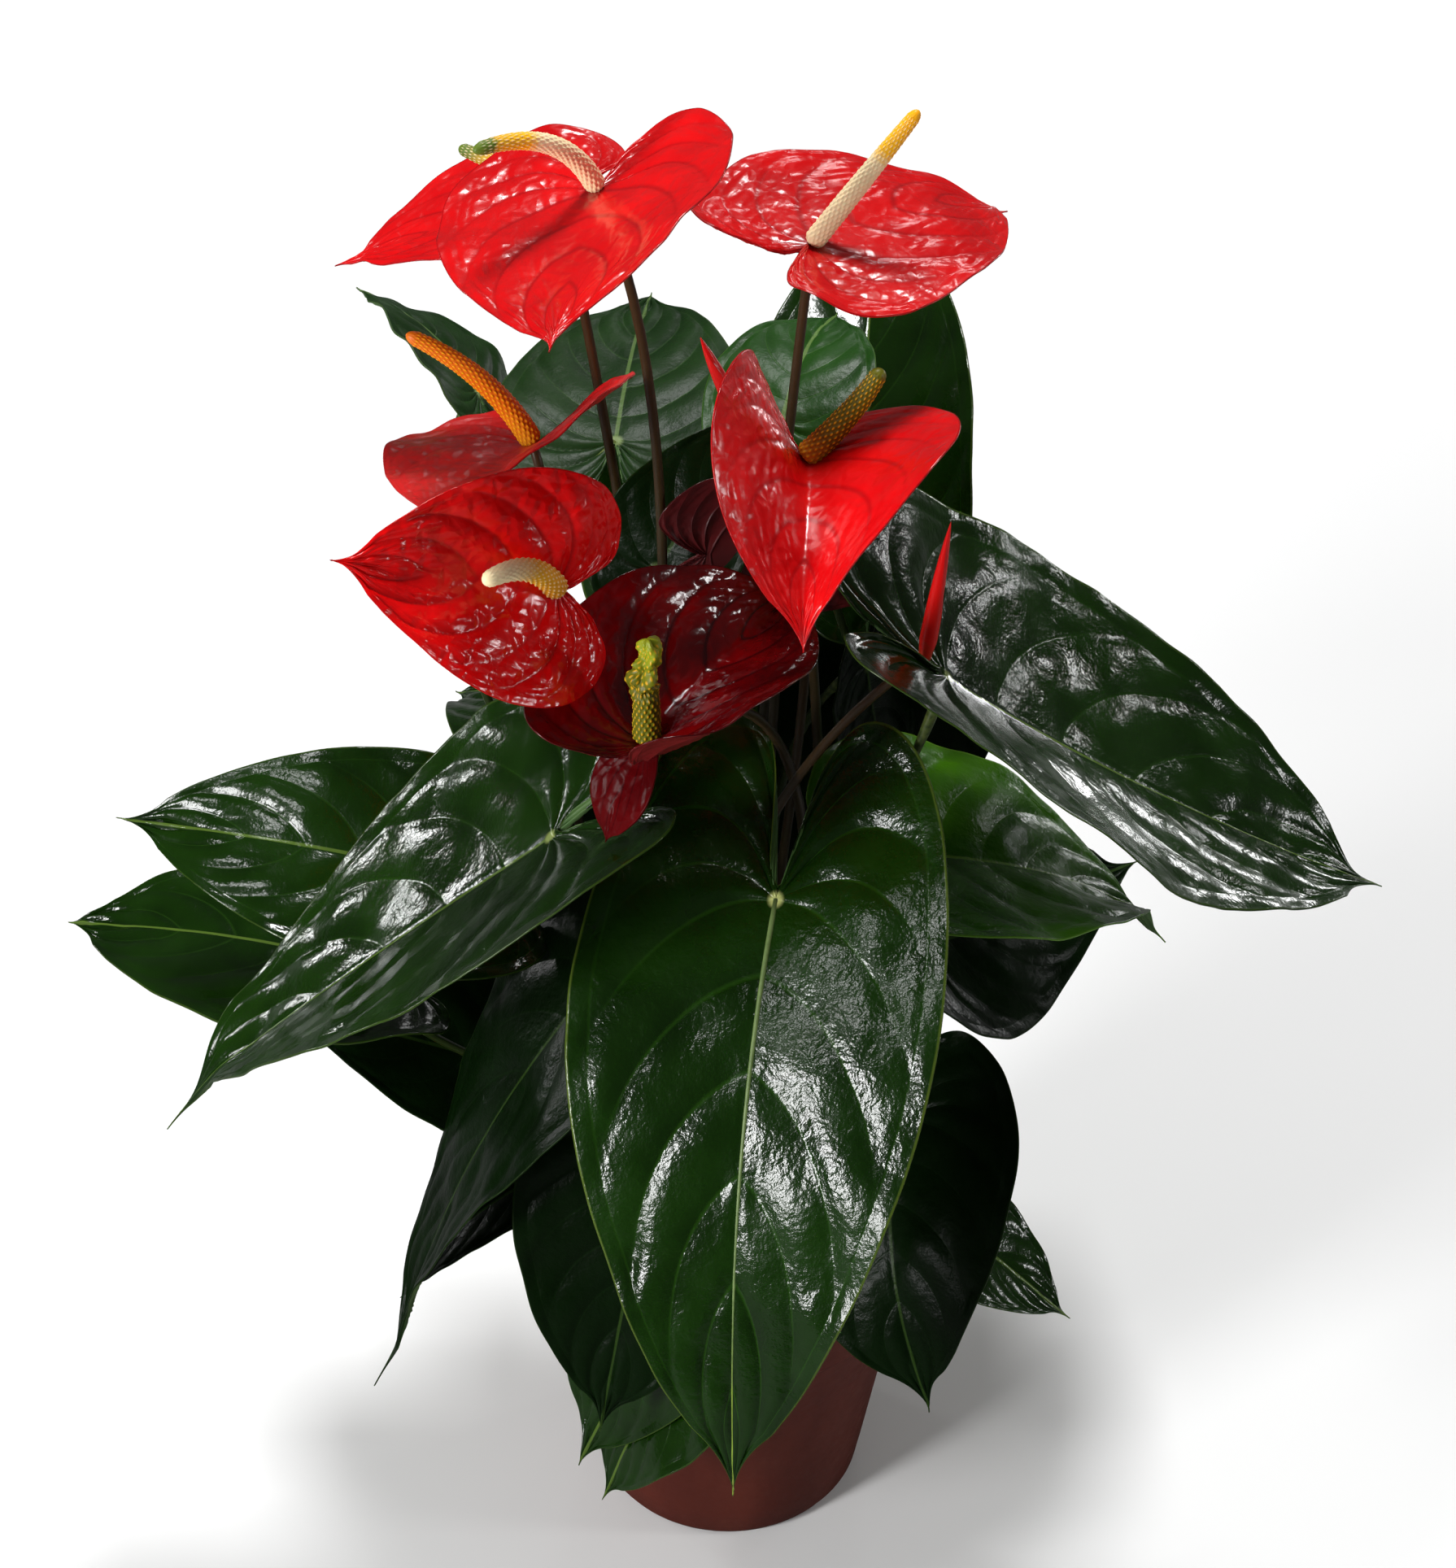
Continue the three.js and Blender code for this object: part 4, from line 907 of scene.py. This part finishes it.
# papery sheaths that once wrapped the young stems
sheaths = {"count": 22, "height": (22, 58), "width": (7, 12), "lean": 0.22, "foot": 133, "gap": 3.2,
           "curlRadius": 7.5, "thick": 0.3}
bm = bmesh.new()
for i in range(sheaths["count"]):
    foot = random.choice(leaves + blooms)["foot"]
    height, width = random.uniform(*sheaths["height"]), random.uniform(*sheaths["width"])
    facing, lean = random.uniform(0, 2 * math.pi), random.uniform(0.3, 1) * sheaths["lean"]
    made = bmesh.ops.create_grid(bm, x_segments=8, y_segments=14, size=1)["verts"]
    for vert in made:
        t = (vert.co.y + 1) / 2
        narrow = width * (1 - t ** 1.6) ** 0.8 + 0.3
        bend = facing + vert.co.x * narrow / sheaths["curlRadius"]
        out = sheaths["gap"] + lean * height * t * t
        out += 0.8 * noise.noise(Vector((vert.co.x * 2, t * 5, i)))
        z = sheaths["foot"] + height * t
        vert.co = Vector((foot[0] + out * math.cos(bend), foot[1] + out * math.sin(bend), z)) * mm
sheathMaterial = matteMaterial("sheath", rgb(128, 92, 52), rgb(84, 56, 32), 0.8, 300, 0.4, 0.0006)
thicken(finishPiece("crown_sheaths", bm, [sheathMaterial], []), sheaths["thick"])
print("pot and soil", flush=True)

# floor, light and camera, in metres and watts
studio = {"floorHalf": 6, "pale": (0.86, 0.86, 0.86, 1), "dim": (0.16, 0.16, 0.16, 1), "glow": 0.85,
          "glowFrom": 0.7, "glowTo": 2.6, "sky": 0.16, "skyLessInGloss": 0.1, "skyMoreInView": 0.7}


def floorPaint():
    # reflections meet it darker than the camera does, which keeps the greens deep
    material, tree, shader, coords = newMaterial("floor paint")
    rays = makeNode(tree, "ShaderNodeLightPath").outputs
    colour = mixed(tree, rays["Is Glossy Ray"], studio["pale"], studio["dim"])
    tree.links.new(colour, shader.inputs["Base Color"])
    # a glow that only the camera sees keeps it pale right to the back
    glow = ranged(tree, lengthOf(tree, coords), studio["glowFrom"], studio["glowTo"], 0, studio["glow"])
    glow = maths(tree, "MULTIPLY", glow, rays["Is Camera Ray"])
    tree.links.new(glow, shader.inputs["Emission Strength"])
    setSockets(shader, {"Roughness": 0.9, "Specular IOR Level": 0.1, "Emission Color": (1, 1, 1, 1)})
    return material


floorMesh = bpy.data.meshes.new("floor")
bm = bmesh.new()
bmesh.ops.create_grid(bm, x_segments=1, y_segments=1, size=studio["floorHalf"])
bm.to_mesh(floorMesh)
bm.free()
floorMesh.materials.append(floorPaint())
floor = placeObject("floor", floorMesh)
floor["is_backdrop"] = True

world = bpy.data.worlds.new("studio")
bpy.context.scene.world = world
world.use_nodes = True
tree = world.node_tree
rays = makeNode(tree, "ShaderNodeLightPath").outputs
less = maths(tree, "MULTIPLY", rays["Is Glossy Ray"], studio["skyLessInGloss"])
more = maths(tree, "MULTIPLY", rays["Is Camera Ray"], studio["skyMoreInView"])
strength = maths(tree, "ADD", maths(tree, "SUBTRACT", studio["sky"], less), more)
tree.links.new(strength, tree.nodes["Background"].inputs["Strength"])
setSockets(tree.nodes["Background"], {"Color": (1, 1, 1, 1)})


def addLight(name, place, target, size, power):
    data = bpy.data.lights.new(name, "AREA")
    data.shape = "RECTANGLE"
    data.size, data.size_y = size
    data.energy = power
    light = placeObject(name, data)
    light.location = place
    light.visible_camera = False
    light.rotation_euler = (Vector(target) - Vector(place)).to_track_quat("-Z", "Y").to_euler()


# mostly small, so that the highlights stay crisp
addLight("window", (-1.36, -1.18, 0.95), (0, -0.05, 0.35), (0.3, 0.8), 32)
addLight("upperLeft", (-1.0, -0.65, 1.85), (-0.2, 0, 0.37), (0.24, 0.28), 4.5)
addLight("leftBack", (-1.5, 1.0, 0.42), (0, 0, 0.4), (0.12, 0.18), 2.6)
addLight("right", (1.75, -0.3, 0.8), (0, 0, 0.45), (0.22, 0.26), 5.5)
addLight("rightBack", (1.5, 0.95, 0.8), (0, 0, 0.45), (0.09, 0.13), 1.3)
addLight("lowRight", (1.08, 1.5, 0.14), (0.18, 0, 0.4), (0.12, 0.16), 1.6)
addLight("back", (0.2, 1.8, 1.05), (0, 0, 0.5), (0.26, 0.14), 1.2)
addLight("over", (0, 0.9, 2.6), (0, 0, 0.3), (0.5, 0.5), 50)
bpy.context.scene.view_settings.view_transform = "Standard"   # clear colours, as in a plain photograph

view = {"place": (0, -1.35, 1.60), "down": 41.71, "lens": 104.7, "sensor": 36}
camera = placeObject("camera", bpy.data.cameras.new("camera"))
camera.data.lens = view["lens"]
camera.data.sensor_width = view["sensor"]
camera.data.clip_start = 0.05
camera.data.clip_end = 30
camera.location = view["place"]
camera.rotation_euler = (math.radians(90 - view["down"]), 0, 0)
bpy.context.scene.camera = camera

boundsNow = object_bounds()
size = [[round(float(value), 5) for value in corner] for corner in (*boundsLoaded, *boundsNow)]
print("bounds", size, flush=True)
